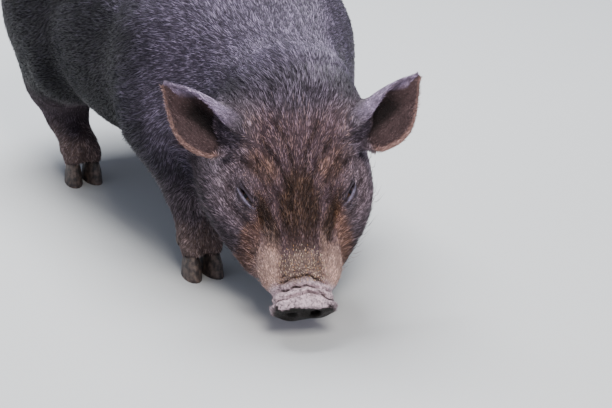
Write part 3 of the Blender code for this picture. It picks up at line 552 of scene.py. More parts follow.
def head_form(q):
    """The head without its ears, in its own frame: the plain head, its masses, folds and disc."""
    side = q[:, 2]
    q = np.stack((q[:, 0], q[:, 1], np.hypot(q[:, 2], HEAD_SEAM)), axis=1)
    u, v, w = q.T
    at, half, top, bottom = np.array(HEAD_SECTIONS).T
    near = np.clip(u, at[0], at[-1])
    half, top, bottom = (
        sum(np.interp(near + slip, at, size) for slip in HEAD_SLIPS) / len(HEAD_SLIPS)
        for size in (half, top, bottom)
    )
    rise = (top - bottom) / 2
    middle = (top + bottom) / 2
    k = np.hypot(w / half, (v - middle) / rise)
    section = (k - 1) * np.minimum(half, rise)
    form = np.where(u == near, section, np.hypot(np.maximum(section, 0), u - near))
    form = np.where((u != near) & (section < 0), np.abs(u - near), form)
    for centre, radii, blend in HEAD_MASSES:
        form = join(form, ball(q, centre, radii), blend)
    for points, depth, width in WRINKLES:
        dent = groove(u, np.abs(side + 0.0012 * np.sin(u * 210)), points, depth, width)
        form = form + dent * soft(v, -0.02, 0.0)

    up, low, across = DISC_RADII
    amount, ridge = snout_folds(u, v, side)
    form = form - FOLD_DEPTH * amount * ridge

    ahead, climb = by_disc(u, v)
    tall = np.where(climb > 0, up, low)
    k = np.hypot(climb / tall, w / across)
    rim = (k - 1) * tall + DISC_ROUND
    lumps = 0.0016 * np.sin(side * 130 + 0.6) * np.sin(climb * 190 + 0.4) + 0.0030 * (k / 0.9) ** 2 - 0.0018
    face = np.abs(ahead + DISC_DEPTH / 2) - DISC_DEPTH / 2 + DISC_ROUND + lumps * (k < 1.2)
    disc = np.hypot(np.maximum(rim, 0), np.maximum(face, 0)) + np.minimum(np.maximum(rim, face), 0)
    form = join(form, disc - DISC_ROUND, DISC_BLEND)
    return -join(-form, ball(q, *NOSTRIL), NOSTRIL_BLEND)


def leg_form(p, name):
    """One leg, from the shoulder or ham down to the toes."""
    x, y = FEET[name]
    side = math.copysign(1.0, x)
    mirror = np.array((side, 1.0, 1.0))
    foot = [(x, y, CORONET[0]), (x, y + 0.004, FETLOCK_HEIGHT)]
    if name.startswith("front"):
        upper, upper_radii = SHOULDER
        joint, joint_radius = ELBOW
        knee = (x * 0.75 + joint[0] * side * 0.25, y + 0.022, KNEE_HEIGHT)
        under = (x * 0.85 + joint[0] * side * 0.15, y + 0.014, KNEE_HEIGHT - CANNON_DROP[0])
        radii = (joint_radius, *FORE_RADII)
    else:
        upper, upper_radii = HAM
        joint, joint_radius = STIFLE
        knee = (x, y + HOCK[0], HOCK[1])
        under = (x, y + HOCK[0] * 0.62, HOCK[1] - CANNON_DROP[1])
        radii = (joint_radius, *HIND_RADII)
    points = [joint * mirror, knee, under, foot[1], foot[0]]
    form = join(ball(p, upper * mirror, upper_radii), chain(p, points, radii, JOINT_BLEND), THIGH_BLEND)
    for toe in (-CLAW_SPACING, CLAW_SPACING):
        place = (x + toe, y - TOE_PLACE[0], CORONET[0] + TOE_PLACE[1])
        form = join(form, ball(p, place, TOE_RADII), TOE_BLEND)
    return form


def coronet_cut(p, name):
    """Distance under the plane where one foot's flesh ends, for the points round that foot."""
    x, y = FEET[name]
    up = unit(np.array((0.0, CORONET[1], 1.0)))
    under = (np.array((x, y, CORONET[0])) - p) @ up
    by_foot = (np.abs(p[:, 0] - x) < 0.05) & (np.abs(p[:, 1] - y) < 0.07) & (p[:, 2] < 0.08)
    return np.where(by_foot, under, -1.0)


def mouth_line():
    """Points along the line of the mouth, in the head's frame, before they are laid on the lips."""
    turns = np.linspace(-math.pi / 2, math.pi / 2, 25)
    ahead = MOUTH_CORNER[1] * np.cos(turns) ** 0.8
    width = MOUTH_WIDTH[0] * (1 - MOUTH_WIDTH[1] * np.cos(turns))
    climb = MOUTH_HEIGHT[0] + MOUTH_HEIGHT[1] * ahead
    return np.stack((MOUTH_CORNER[0] + ahead, climb, width * np.sin(turns)), axis=1)


def pig_form(p):
    """The whole pig's flesh: less than zero inside it, more outside."""
    chest, belly, rump = (ball(p, *mass) for mass in TORSO)
    torso = join(join(chest, belly, TORSO_BLEND), rump, TORSO_BLEND)
    for name in FEET:
        torso = join(torso, leg_form(p, name), LEG_BLEND)
    torso = join(torso, chain(p, TAIL_PATH, TAIL_RADII, TAIL_BLENDS[0]), TAIL_BLENDS[1])
    neck = join(bone(p, *NECK), ball(p, *THROAT), THROAT_BLEND)
    q = in_head(p)
    body = join(join(torso, neck, NECK_BLEND), head_form(q), HEAD_BLEND)
    return join(body, ear_form(folded(q)), EAR_BLEND)


def coat_depth(p, q):
    """How deep the skin lies under the solids' surface: least on the ears, more on the feet."""
    depth = BODY_COAT - LESS_COAT[0] * soft(q[:, 0], -0.02, 0.05) * soft(q[:, 1], -0.09, -0.05)
    depth = depth - LESS_COAT[1] * soft(q[:, 0], 0.19, 0.205)
    lateral = np.abs(q[:, 2])
    on_ear = soft(lateral, 0.066, 0.080) * soft(q[:, 0], 0.10, 0.07) * soft(q[:, 1], -0.03, 0.0)
    depth = depth * (1 - on_ear) + EAR_COAT * on_ear
    inset = FOOT_INSET * soft(p[:, 2], 0.044, 0.026)
    foot = FOOT_COAT[0] + FOOT_COAT[1] * soft(p[:, 2], 0.05, 0.14) + inset
    return np.where(p[:, 1] > -0.26, np.minimum(depth + inset, foot), depth)


def skin_form(p, opened=True):
    """The flesh less the coat, with the lids' skin, the eyes' openings and the mouth cut in."""
    q = in_head(p)
    form = pig_form(p) + coat_depth(p, q)
    from_eye = folded(q) - EYE_CENTRE
    e = from_eye @ EYE.T
    form = join(form, np.linalg.norm(from_eye, axis=1) - EYE_RADIUS - LID_DEPTH[0], LID_DEPTH[1])
    for name in FEET:
        form = np.maximum(form, coronet_cut(p, name) + CLAW_GAP)
    if opened:
        half_length, half_height, hole_floor = OPENING
        almond = np.abs(e[:, 1]) - half_height * (1 - (e[:, 0] / half_length) ** 2)
        hole = np.maximum(almond * 0.8, hole_floor - e[:, 2])
        form = -join(-form, hole, CUT_BLEND)
    by_mouth = np.flatnonzero((q[:, 0] > 0.11) & (q[:, 1] < 0.0) & (np.abs(form) < 0.03))
    if len(by_mouth) and len(MOUTH):
        near = np.min([off_line(p[by_mouth], *ends)[0] for ends in zip(MOUTH[:-1], MOUTH[1:])], axis=0)
        form[by_mouth] = -join(-form[by_mouth], near - MOUTH_RADIUS, CUT_BLEND)
    return form


def evaluate(form, points):
    """The form at many points, worked out in slices side by side."""
    slices = np.array_split(points, max(1, len(points) // SLICE))
    with ThreadPoolExecutor(WORKERS) as workers:
        return np.concatenate(list(workers.map(form, slices)))


def slope_of(form, points):
    """The gradient of the form by central differences."""
    reach = 0.0002
    slope = [evaluate(form, points + reach * axis) - evaluate(form, points - reach * axis)
             for axis in np.eye(3)]
    return np.stack(slope, axis=1) / (2 * reach)


def settle(form, verts, rounds=2):
    """Move points onto the surface where form is zero, along its slope."""
    for _ in range(rounds):
        slope = slope_of(form, verts)
        steep = np.maximum((slope ** 2).sum(axis=1), 0.25)
        verts = verts - (evaluate(form, verts) / steep)[:, None] * slope
    return verts


def net(form, low, high, step):
    """Closed mesh of the surface where form is zero, from a grid between two corners.

    The form is measured at the middle of blocks of four cells, and again at every grid point of
    the blocks that the surface may cross. A grid square with only two opposite corners inside
    is filled, because the surface would touch itself there. Each cell with grid points on both
    sides holds one vertex, the mean of the crossings on its edges, and each crossed grid edge
    gives one quad.
    """
    low = np.array(low)
    blocks = np.ceil((np.array(high) - low) / (4 * step)).astype(int)
    middles = (np.indices(blocks).reshape(3, -1).T + 0.5) * 4 * step + low
    values = evaluate(form, middles).reshape(blocks).repeat(4, 0).repeat(4, 1).repeat(4, 2)
    near = np.abs(values) < 6 * step
    values[near] = evaluate(form, np.argwhere(near) * step + low)

    inside = values < 0
    for axis in (0, 1, 2, 0, 1, 2):
        right, up = np.delete(np.eye(3, dtype=int), axis, axis=0)
        shape = np.array(inside.shape) - right - up
        ring = [
            inside[tuple(slice(d, n + d) for n, d in zip(shape, offset))]
            for offset in (0 * up, right, right + up, up)
        ]
        pinched = (ring[0] == ring[2]) & (ring[1] == ring[3]) & (ring[0] != ring[1])
        for corner in ring:
            corner |= pinched
    values[inside & (values >= 0)] = -step / 4
    corners = sum(
        inside[i:i - 1 or None, j:j - 1 or None, k:k - 1 or None].astype(np.uint8)
        for i in (0, 1) for j in (0, 1) for k in (0, 1)
    )
    mixed = (corners > 0) & (corners < 8)
    cells = np.argwhere(mixed)
    number = np.full(mixed.shape, -1)
    number[mixed] = np.arange(len(cells))
    total = np.zeros((len(cells), 3))
    count = np.zeros(len(cells))
    for axis in range(3):
        along = np.eye(3, dtype=int)[axis]
        for i in (0, 1):
            for j in (0, 1):
                start = np.roll((0, i, j), axis)
                a = values[tuple((cells + start).T)]
                b = values[tuple((cells + start + along).T)]
                crossed = (a < 0) != (b < 0)
                share = np.where(crossed, a / np.where(crossed, a - b, 1), 0)
                total += crossed[:, None] * (start + share[:, None] * along)
                count += crossed
    verts = low + (cells + total / count[:, None]) * step

    quads = []
    for axis in range(3):
        along, right, up = np.roll(np.eye(3, dtype=int), -axis, axis=0)
        shape = np.array(values.shape) - along
        first = inside[tuple(slice(0, n) for n in shape)]
        second = inside[tuple(slice(d, n + d) for n, d in zip(shape, along))]
        edges = np.argwhere(first != second)
        ring = np.stack([number[tuple((edges - move).T)] for move in (0 * up, right, right + up, up)], axis=1)
        out = first[tuple(edges.T)]
        quads.append(np.where(out[:, None], ring, ring[:, ::-1]))
    return verts, np.concatenate(quads)


def points_of(mesh):
    """A mesh's points as an array."""
    flat = np.empty(len(mesh.vertices) * 3)
    mesh.vertices.foreach_get("co", flat)
    return flat.reshape(-1, 3)


# The line of the mouth is laid on the lips before it is cut into them
MOUTH = ()
MOUTH = settle(lambda p: skin_form(p, False), mouth_line() @ HEAD + POLL, rounds=6)
verts, quads = net(skin_form, *SKIN_BOX, SKIN_STEP)
skin_mesh = mesh_of("skin", verts, quads)
skin = bpy.data.objects.new("skin", skin_mesh)
bpy.context.scene.collection.objects.link(skin)

slim = skin.modifiers.new("slim", "DECIMATE")
slim.ratio = SKIN_TRIANGLES / (2 * len(quads))
bpy.context.view_layer.update()
thin = bpy.data.meshes.new_from_object(skin.evaluated_get(bpy.context.evaluated_depsgraph_get()))
bpy.data.objects.remove(skin)

shape = bmesh.new()
shape.from_mesh(thin)
q = in_head(points_of(thin))
fine = (q[:, 0] > FINE_SNOUT) | (np.linalg.norm(folded(q) - EYE_CENTRE, axis=1) < FINE_LIDS)
shape.edges.ensure_lookup_table()
fine_edges = [edge for edge in shape.edges if fine[edge.verts[0].index] and fine[edge.verts[1].index]]
bmesh.ops.subdivide_edges(shape, edges=fine_edges, cuts=1, use_grid_fill=True)
bmesh.ops.triangulate(shape, faces=shape.faces)
shape.to_mesh(thin)
shape.free()
skin_points = settle(skin_form, points_of(thin))
skin_normals = unit(slope_of(skin_form, skin_points))
thin.vertices.foreach_set("co", (skin_points + shift).ravel())
thin.shade_smooth()
flat = np.empty(len(thin.polygons) * 3, dtype=np.int32)
thin.polygons.foreach_get("vertices", flat)
skin_faces = flat.reshape(-1, 3)


# Markings: the colours of the hide, the same on the skin and on the hairs that grow from it. The pig is slate
# black with painted sheen on its neck and back and painted shade on its lower flanks, rusty marks on a brown
# face, tan lips, a pink snout with a dark muddy disc, and brown ear cups with a silvery roll that is partly
# painted sheen. Painted shade also darkens the jaw, creases, hollows and nostrils, and painted highlights
# lighten the lower lids and the snout's rim.
def tone(red, green, blue):
    """A display colour of 0 to 255 a part as linear light."""
    return (np.array((red, green, blue)) / 255.0) ** 2.2


SLATE = tone(46, 42, 49)
SHEEN_GREY = tone(114, 102, 122)
FLANK_SHADE = tone(25, 23, 29)
LEG = tone(90, 78, 84)
PASTERN = tone(136, 114, 108)
FACE = tone(115, 92, 100)
CROWN = tone(78, 68, 80)
BROW = tone(142, 109, 100)
FURROW = tone(80, 60, 54)
MUZZLE = tone(158, 132, 122)
LIP = tone(224, 184, 172)
RUST = tone(148, 107, 88)
SNOUT = tone(226, 196, 204)
RIM_AND_HIGHLIGHT = tone(242, 212, 222)
DISC = tone(22, 16, 12)
CREASE_SHADE = tone(48, 37, 35)
CHEEK = tone(138, 118, 126)
JOWL_SHADE = tone(80, 67, 70)
EYELID = tone(92, 80, 92)
LID_HIGHLIGHT = tone(194, 187, 220)
EAR_BACK = tone(108, 96, 106)
EAR_CUP = tone(98, 78, 79)
EAR_DEEP_SHADE = tone(18, 12, 10)
EAR_EDGE = tone(170, 132, 124)
EAR_ROLL_AND_SHEEN = tone(168, 148, 178)
HOLLOW_SHADE = tone(44, 33, 45)


def waves(p, size, seed):
    """Cloudy noise between about -1 and 1: the mean of sines in random directions."""
    dice = np.random.default_rng(seed)
    ways = unit(dice.normal(size=(7, 3))) * dice.uniform(0.6, 1.6, (7, 1)) * 2 * math.pi / size
    return np.sin(p @ ways.T + dice.uniform(0, 2 * math.pi, 7)).sum(axis=1) / 3.0


def patch(x, y, middle, radii, turn=0.0):
    """1 in the middle of a soft oval in the plane of x and y, 0 outside it."""
    c, s = math.cos(math.radians(turn)), math.sin(math.radians(turn))
    dx, dy = x - middle[0], y - middle[1]
    k = np.hypot((c * dx + s * dy) / radii[0], (c * dy - s * dx) / radii[1])
    return soft(k, 1.25, 0.6)


def by_ear(u, v, a):
    """1 in the hollow between the neck and the root of each ear, which is painted as shade, 0 away from it.
    """
    near = np.hypot((u + 0.003) / 0.026, (a - 0.062) / 0.017)
    return np.exp(-near ** 2) * soft(v, -0.02, 0.0)


def markings(p):
    """The hide's colour at points of the skin, painted light and shade included, and how wet the skin is
    there.

    Each colour is laid over those before it, by place: u, v and a are metres from the poll towards
    the snout, out of the forehead and away from the head's middle.
    """
    q = in_head(p)
    u, v, w = q.T
    a = np.abs(w)
    ruffle = waves(p, 0.035, 3)
    fleck = waves(p, 0.008, 4)
    colour = np.tile(SLATE, (len(p), 1))

    def lay(tint, share):
        """Lay a colour over the hide where share is more than nothing."""
        share = np.clip(share, 0, 1)[:, None]
        colour[:] = colour * (1 - share) + tint * share

    _, y, z = p.T
    # Painted shade: the lower flanks are darker
    lay(FLANK_SHADE, soft(z, 0.22, 0.14))
    # Painted sheen: the top of the back and the neck are lighter
    lay(SHEEN_GREY, soft(z + 0.012 * ruffle, 0.26, 0.33) * soft(y, 0.40, 0.10) * 0.85)
    lay(SHEEN_GREY * 0.85, soft(z + 0.02 * ruffle, 0.07, 0.19) * soft(y + 0.02 * ruffle, -0.07, -0.19))
    lay(LEG, soft(z, 0.13, 0.09))
    lay(PASTERN, soft(z + 0.006 * ruffle, 0.075, 0.045) * (0.75 + 0.25 * fleck))

    # The face: cheeks, crown, brow, tan lips and rusty marks beside the nose, with painted shade under the
    # jaw and the ears and along the furrows and wrinkles
    on_head = soft(u, -0.02, 0.035) * soft(v, -0.11, -0.08) * soft(a, 0.125, 0.10)
    lay(CHEEK, on_head)
    # Painted shade under the jaw
    lay(JOWL_SHADE, on_head * soft(v, -0.015, -0.055) * soft(u, 0.19, 0.16))
    lay(FACE, on_head * soft(u + 0.01 * ruffle, 0.005, 0.045) * soft(a, 0.065, 0.035))
    lay(CROWN, patch(u, a, (0.002, 0.0), (0.034, 0.056)) * soft(v, -0.04, -0.01) * 0.85)
    # Painted shadow under each ear, in the crown's colour
    lay(CROWN, on_head * patch(u, a, (0.046, 0.068), (0.024, 0.015)) * 0.75)
    lay(BROW, on_head * patch(u, a, (0.083, 0.037), (0.022, 0.013), -38) * (0.55 + 0.3 * ruffle))
    lay(FURROW, on_head * patch(u, a, (0.122, 0.006), (0.038, 0.017), 8))
    # Painted shade along the muzzle's groove
    lay(FURROW * 0.8, on_head * patch(u, a, (0.135, 0.034), (0.034, 0.008), -22))
    # Painted shade along the wrinkles
    wrinkled = sum(groove(u, a, points, 1.0, width) for points, _, width in WRINKLES[:8])
    lay(FURROW * 0.35, on_head * np.minimum(wrinkled, 1) * 0.68 * soft(v, -0.02, 0.0))
    lay(MUZZLE, on_head * patch(u + 0.004 * fleck, a, (0.192, 0.0), (0.027, 0.023)) * (0.8 + 0.2 * fleck))
    lips = soft(u + 0.008 * ruffle + 0.004 * fleck, 0.140, 0.178) * soft(a, 0.016, 0.030)
    lay(LIP, on_head * lips * soft(a, 0.058, 0.043) * soft(v, -0.075, -0.045))
    lay(FURROW, on_head * patch(u, a, (0.160, 0.0), (0.013, 0.018)) * 0.65)
    rusty = patch(u + 0.004 * ruffle, a, (0.150, 0.050), (0.027, 0.010), 14)
    lay(RUST, on_head * rusty * (0.55 + 0.2 * ruffle))

    # The eyelids: a painted highlight along the lower one, and painted shade along the slit and in the
    # creases under and over them
    along, above, outward = ((folded(q) - EYE_CENTRE) @ EYE.T).T
    by_eye = soft(outward, 0.0, 0.004) * soft(np.abs(along), 0.017, 0.011)
    lay(EYELID, by_eye * soft(np.abs(above + 0.001), 0.011, 0.007) * 0.85)
    # Painted shade along the slit
    lay(FURROW * 0.15, by_eye * np.exp(-((above - 0.0002) / 0.0016) ** 2))
    # Painted highlight along the lower lid's edge
    lay(LID_HIGHLIGHT, by_eye * np.exp(-((above + 0.0031) / 0.0007) ** 2) * (0.62 + 0.15 * fleck))
    # Painted shade in the creases under and over the lids
    lay(FURROW * 0.25, by_eye * np.exp(-((above + 0.0068) / 0.0011) ** 2) * 0.6)
    lay(FURROW * 0.25, by_eye * np.exp(-((above - 0.0064) / 0.0012) ** 2) * 0.9)

    # The snout: pink, with painted shade in its creases and nostrils, a rim lightened as painted highlight,
    # and mud that climbs the disc to an uneven edge
    lay(SNOUT, on_head * soft(u + 0.002 * ruffle, 0.200, 0.208))
    lay(FURROW, on_head * soft(fleck, 0.35, 0.8) * soft(u, 0.202, 0.208) * 0.5)
    # The rim: pale pink, lightened as painted highlight
    lay(RIM_AND_HIGHLIGHT, on_head * soft(u, 0.221, 0.226))
    ahead, climb = by_disc(u, v)
    amount, ridge = snout_folds(u, v, w)
    # Painted shade in the snout's creases
    lay(CREASE_SHADE, on_head * soft(ridge, -0.12, -0.46) * amount * soft(u, 0.19, 0.2))
    wet_mud = np.exp(-((w + 0.007) / 0.0085) ** 2)
    spatter = waves(p, 0.0035, 7)
    reach = 0.0058 + 0.0014 * wet_mud + 0.0008 * np.sin(w * 410) + 0.0016 * spatter
    disc = on_head * soft(ahead, -reach - 0.0022, -reach + 0.0012) * soft(np.hypot(climb, w), 0.040, 0.030)
    hole = patch(v, a, NOSTRIL[0][1:], (0.0085, 0.0062)) * soft(ahead, -0.02, -0.012)
    # The disc's upper face in the rim's colour, pale pink partly lightened as painted highlight
    lay(RIM_AND_HIGHLIGHT * 0.8, disc)
    edge = 0.0125 + 0.0070 * wet_mud + 0.0016 * np.sin(w * 330) + 0.0020 * spatter
    lay(DISC, disc * soft(climb - edge, 0.0030, -0.0020))
    # Painted shade in the nostrils
    lay(DISC * 0.6, on_head * hole)

    # The ears: brown cups with painted shade in their depth, a tan outer edge and a silvery inner roll
    # lightened further as painted sheen, and painted shade in the hollow behind each ear
    # Painted shade in the hollow behind each ear's root
    lay(HOLLOW_SHADE, by_ear(u, v, a) * 0.8)
    near, s, rim, face = ear_place(folded(q))
    on_ear = soft(near, 0.009, 0.005) * soft(s, -0.02, 0.04)
    x_ear = (folded(q) - EAR_ROOT) @ ear_out
    lay(EAR_BACK, on_ear * (face < 0))
    cup = on_ear * (face > 0)
    lay(EAR_CUP, cup)
    # Painted shade in the depth of the cup
    lay(EAR_DEEP_SHADE, cup * soft(np.abs(x_ear - 0.003), 0.017, 0.004) * soft(s, 0.80, 0.50) * 0.9)
    lay(EAR_EDGE, on_ear * soft(rim, 0.0020, 0.0006) * (x_ear > 0))
    rolled = on_ear * soft(rim, 0.020, 0.010) * (x_ear <= 0) * soft(s, 0.02, 0.34)
    # The roll's silvery hair colour, lightened further as painted sheen
    lay(EAR_ROLL_AND_SHEEN, rolled * (0.78 + 0.30 * fleck))
    shade = 1 + 0.10 * waves(p, 0.015, 5) + 0.08 * waves(p, 0.05, 6)
    return colour * shade[:, None], disc


BARE_FROM = (0.199, 0.208)          # u where the hair ends, at the edge of the snout


def stain(mesh, colours):
    """Store the colour of hide or hair on each point of a mesh."""
    layer = mesh.attributes.new("hide", "FLOAT_COLOR", "POINT")
    layer.data.foreach_set("color", np.hstack((colours, np.ones((len(colours), 1)))).ravel())


def mark(mesh, name, values):
    """Store a number on each point of a mesh."""
    layer = mesh.attributes.new(name, "FLOAT", "POINT")
    layer.data.foreach_set("value", np.asarray(values, dtype=np.float32))


def strand_place(p):
    """Coordinates whose first one runs with the hair: along the body, along the head or down a leg."""
    q = in_head(p)
    on_head = soft(q[:, 0], -0.02, 0.02) * soft(q[:, 1], -0.12, -0.09)
    low = soft(p[:, 2], 0.16, 0.10) * soft(p[:, 1], -0.26, -0.20)
    body = np.stack((p[:, 1], p[:, 0], p[:, 2]), axis=1)
    leg = np.stack((p[:, 2], p[:, 0], p[:, 1]), axis=1)
    place = body * (1 - low)[:, None] + leg * low[:, None]
    return place * (1 - on_head)[:, None] + q * on_head[:, None]


def dress(mesh, p, colours, wet, bare):
    """Store on a piece of hide its colours, how wet and how bare it is, and how its strands run."""
    stain(mesh, colours)
    mark(mesh, "wet", wet)
    mark(mesh, "bare", bare)
    layer = mesh.attributes.new("strand", "FLOAT_VECTOR", "POINT")
    layer.data.foreach_set("vector", strand_place(p).ravel())


tint, wet = markings(skin_points)
dress(thin, skin_points, tint, wet, soft(in_head(skin_points)[:, 0], *BARE_FROM))

hide = Finish("hide", 0.62)
coat_colour = hide.attribute("hide", out="Color")
wetness = hide.attribute("wet")
bareness = hide.attribute("bare")
grime = hide.noise(420.0, 3.0)
strands = hide.attribute("strand", out="Vector")
stretched = hide.add("ShaderNodeMapping", None, Vector=strands, Scale=(0.13, 1.0, 1.0))
streaks = hide.noise(1500.0, 2.0, stretched)
locks = hide.noise(330.0, 2.0, stretched)
haired = 1 - bareness
dapple = hide.ramp(grime * (0.35 + bareness * 0.72) + streaks * haired * 0.65 + locks * haired * 0.1,
                   (0.36, 0.30), (0.62, 1.0))
pores = hide.noise(1500.0, 2.0)
creases = hide.add("ShaderNodeTexVoronoi", {"feature": "DISTANCE_TO_EDGE"}, Vector=hide.place(),
                   Scale=820.0)
leather = hide.step(creases, 0.0, 0.12)
relief = pores * 0.4 + leather * bareness * 0.45 + grime * 0.5 + streaks * haired * 1.6
# Under the hair the skin is darkened, as painted shade of the coat over it
hide.feed(
    Base_Color=hide.mix(1.0, coat_colour, dapple * (1 - haired * 0.35), "MULTIPLY"),
    Roughness=0.64 - wetness * 0.20 - bareness * 0.10,
    Specular_IOR_Level=0.12,
    Coat_Weight=bareness * 0.16 - wetness * 0.13,
    Coat_Roughness=0.35,
    Normal=hide.bump(relief, 0.0005, 0.8),
)
skin = show("skin", thin, hide.material)
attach(skin, "root")
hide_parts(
    "torso", "neck", "head", "snout", "ear_left", "ear_right", "tail",
    "leg_front_left", "leg_front_right", "leg_hind_left", "leg_hind_right",
)


# Eyes: wet dark brown balls, of which only a narrow slanting slit shows between the lids. Each is
# a whole ball with a swollen cornea, in the place and at the size of the solid's eyeball.
EYEBALL_RINGS = (40, 64)            # from front to back, and points in each
CORNEA = (0.0007, 0.62, 0.2)        # its swelling, and radians off the front where that starts and is full
PUPIL_TO = (14.0, 12.0)             # degrees off the way that it looks, at its soft edge
WHITE_FROM = (33.0, 37.0)           # the same of the dark white round the iris


def grid_faces(rows, columns, closed_rows=False):
    """Quads of a grid of points whose columns close into a ring, and its rows too if asked."""
    i, j = np.meshgrid(np.arange(rows if closed_rows else rows - 1), np.arange(columns), indexing="ij")
    i, j = i.ravel(), j.ravel()
    down, over = (i + 1) % rows, (j + 1) % columns
    return np.stack((i * columns + j, i * columns + over, down * columns + over, down * columns + j), axis=1)


def head_to_pig(q, side):
    """Points in the head's frame, on the left or mirrored to the right, in the pig's frame."""
    return (q * (1, 1, side)) @ HEAD + POLL


def turned_out(mesh, merged):
    """Turn a closed mesh's normals outwards, with the points of its poles merged first if asked."""
    shape = bmesh.new()
    shape.from_mesh(mesh)
    if merged:
        bmesh.ops.remove_doubles(shape, verts=shape.verts, dist=1e-6)
    bmesh.ops.recalc_face_normals(shape, faces=shape.faces)
    shape.to_mesh(mesh)
    shape.free()


def eyeball(name, side):
    """A ball of rings round the way that it looks, whose radius swells smoothly at its front."""
    rows, columns = EYEBALL_RINGS
    fall = np.linspace(0.0, math.pi, rows)[:, None]
    round_it = np.linspace(0, 2 * math.pi, columns, endpoint=False)[None, :]
    radius = EYE_RADIUS + CORNEA[0] * soft(fall, *CORNEA[1:])
    local = np.stack((radius * np.sin(fall) * np.cos(round_it), radius * np.sin(fall) * np.sin(round_it),
                      radius * np.cos(fall) + 0 * round_it), axis=-1).reshape(-1, 3)
    points = head_to_pig(local @ EYE + EYE_CENTRE, side)
    mesh = mesh_of(name, points + shift, grid_faces(rows, columns)[:, ::side])
    turned_out(mesh, merged=True)
    middle = head_to_pig(np.array([EYE_CENTRE]), side)[0] + shift
    look = head_to_pig(np.array([np.array(EYE_CENTRE) + eye_out]), side)[0] + shift - middle
    reach = unit(points_of(mesh) - middle) @ look
    mark(mesh, "gaze", np.degrees(np.arccos(np.clip(reach, -1, 1))))
    return mesh


wet_eye = Finish("wet_eye", 0.06)
gaze = wet_eye.attribute("gaze")
iris = wet_eye.mix(wet_eye.noise(900.0, 3.0), tone(30, 17, 11), tone(66, 38, 22))
ball_colour = wet_eye.mix(wet_eye.step(gaze, *WHITE_FROM), iris, tone(50, 38, 34))
wet_eye.feed(
    Base_Color=wet_eye.mix(wet_eye.step(gaze, *PUPIL_TO), ball_colour, tone(6, 5, 5)),
    Specular_IOR_Level=0.25,
    Coat_Weight=0.30,
    Coat_Roughness=0.03,
)
for name, side in (("left", 1), ("right", -1)):
    piece = show("eyeball_" + name, eyeball("eyeball_" + name, side), wet_eye.material)
    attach(piece, "root")
    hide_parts("eye_" + name)


# Eyelids: rolls of thick skin round each slit, the upper one heavier, with a wet inner edge. Each
# pair is one closed ring that lies on the eyeball and runs out into the skin of the face.
LID_ROWS = 36
LID_COLUMNS = 96
SLIT = (0.0098, 0.0017)             # half length and half height
LID_FLOOR = 0.0066                  # least distance of a lid in front of the eyeball's middle
LID_WIDTH = ((0.0026, 0.0038), (0.0008, 0.0010))    # along the slit and across it, and more on the upper
LID_HEIGHT = (0.0012, 0.0007)       # of the rolls over the ball, and more on the upper one


def lids(name, side):
    """A ring of soft rolls: each section is a closed spline from the skin over the roll to the ball."""
    turns = np.linspace(0, 2 * math.pi, LID_COLUMNS, endpoint=False)
    c, s = np.cos(turns), np.sin(turns)
    edge = np.stack((SLIT[0] * c, SLIT[1] * s * np.abs(s) ** 0.3), axis=1)
    upper = soft(s, -0.2, 0.6)
    away = np.stack((c, s), axis=1) * (np.array(LID_WIDTH[0]) + upper[:, None] * LID_WIDTH[1])

    def lifted(points):
        """Points in the eye's own frame moved to the pig's."""
        return head_to_pig(points @ EYE + EYE_CENTRE, side)

    def on_ball(flat, lift):
        """Points of the flat shape laid on a ball that is so much bigger than the eye."""
        radius = EYE_RADIUS + lift
        out = np.maximum(radius ** 2 - (flat ** 2).sum(axis=1), (LID_FLOOR + lift) ** 2)
        return np.column_stack((flat, np.sqrt(out)))

    def on_skin(flat, sink):
        """Points of the flat shape moved along the eye's axis and settled on the skin, then sunk."""
        local = np.column_stack((flat, np.full(len(flat), EYE_RADIUS + 0.001)))
        at = settle(lambda p: skin_form(p, False), lifted(local), rounds=5)
        return at - unit(slope_of(lambda p: skin_form(p, False), at)) * sink

    roll = LID_HEIGHT[0] + LID_HEIGHT[1] * upper
    crest = lifted(on_ball(edge + away * 0.30, roll + 0.0004))
    lash_lines[side] = crest, lifted(on_ball(edge + away * 1.8, roll + 0.0040)) - crest, s
    # From the wet edge inside the slit out over the roll, down into the skin and back to the ball
    controls = np.array([
        lifted(on_ball(edge * 0.97, -0.0010)),
        lifted(on_ball(edge, 0.0003)),
        lifted(on_ball(edge + away * 0.20, roll)),
        lifted(on_ball(edge + away * 0.60, roll + 0.0012)),
        on_skin(edge + away * 1.15, -0.0004),
        on_skin(edge + away * 1.50, 0.0004),
        on_skin(edge + away * 1.35, 0.0016),
        lifted(on_ball(edge + away * 0.60, 0.0)),
    ])
    count = len(controls)
    t = np.linspace(0, count, LID_ROWS, endpoint=False)
    i = t.astype(int)
    f = (t - i)[:, None, None]
    p0, p1, p2, p3 = (controls[(i + k) % count] for k in (-1, 0, 1, 2))
    rows = 0.5 * (2 * p1 + (p2 - p0) * f + (2 * p0 - 5 * p1 + 4 * p2 - p3) * f ** 2
                  + (3 * p1 - p0 - 3 * p2 + p3) * f ** 3)
    points = rows.reshape(-1, 3)
    mesh = mesh_of(name, points + shift, grid_faces(len(rows), LID_COLUMNS, closed_rows=True))
    turned_out(mesh, merged=False)
    tint, _ = markings(points)
    inner = np.repeat(soft(np.minimum(t, count - t), 1.1, 0.4), LID_COLUMNS)[:, None]
    colours = tint * (1 - inner) + tone(34, 26, 28) * inner
    dress(mesh, points, colours, inner[:, 0] * 0.9, np.full(len(points), 0.1))
    return mesh


lash_lines = {}                     # crest of the lids, the way to the lashes' tips, and how high
for name, side in (("left", 1), ("right", -1)):
    piece = show("eyelids_" + name, lids("eyelids_" + name, side), hide.material)
    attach(piece, "root")


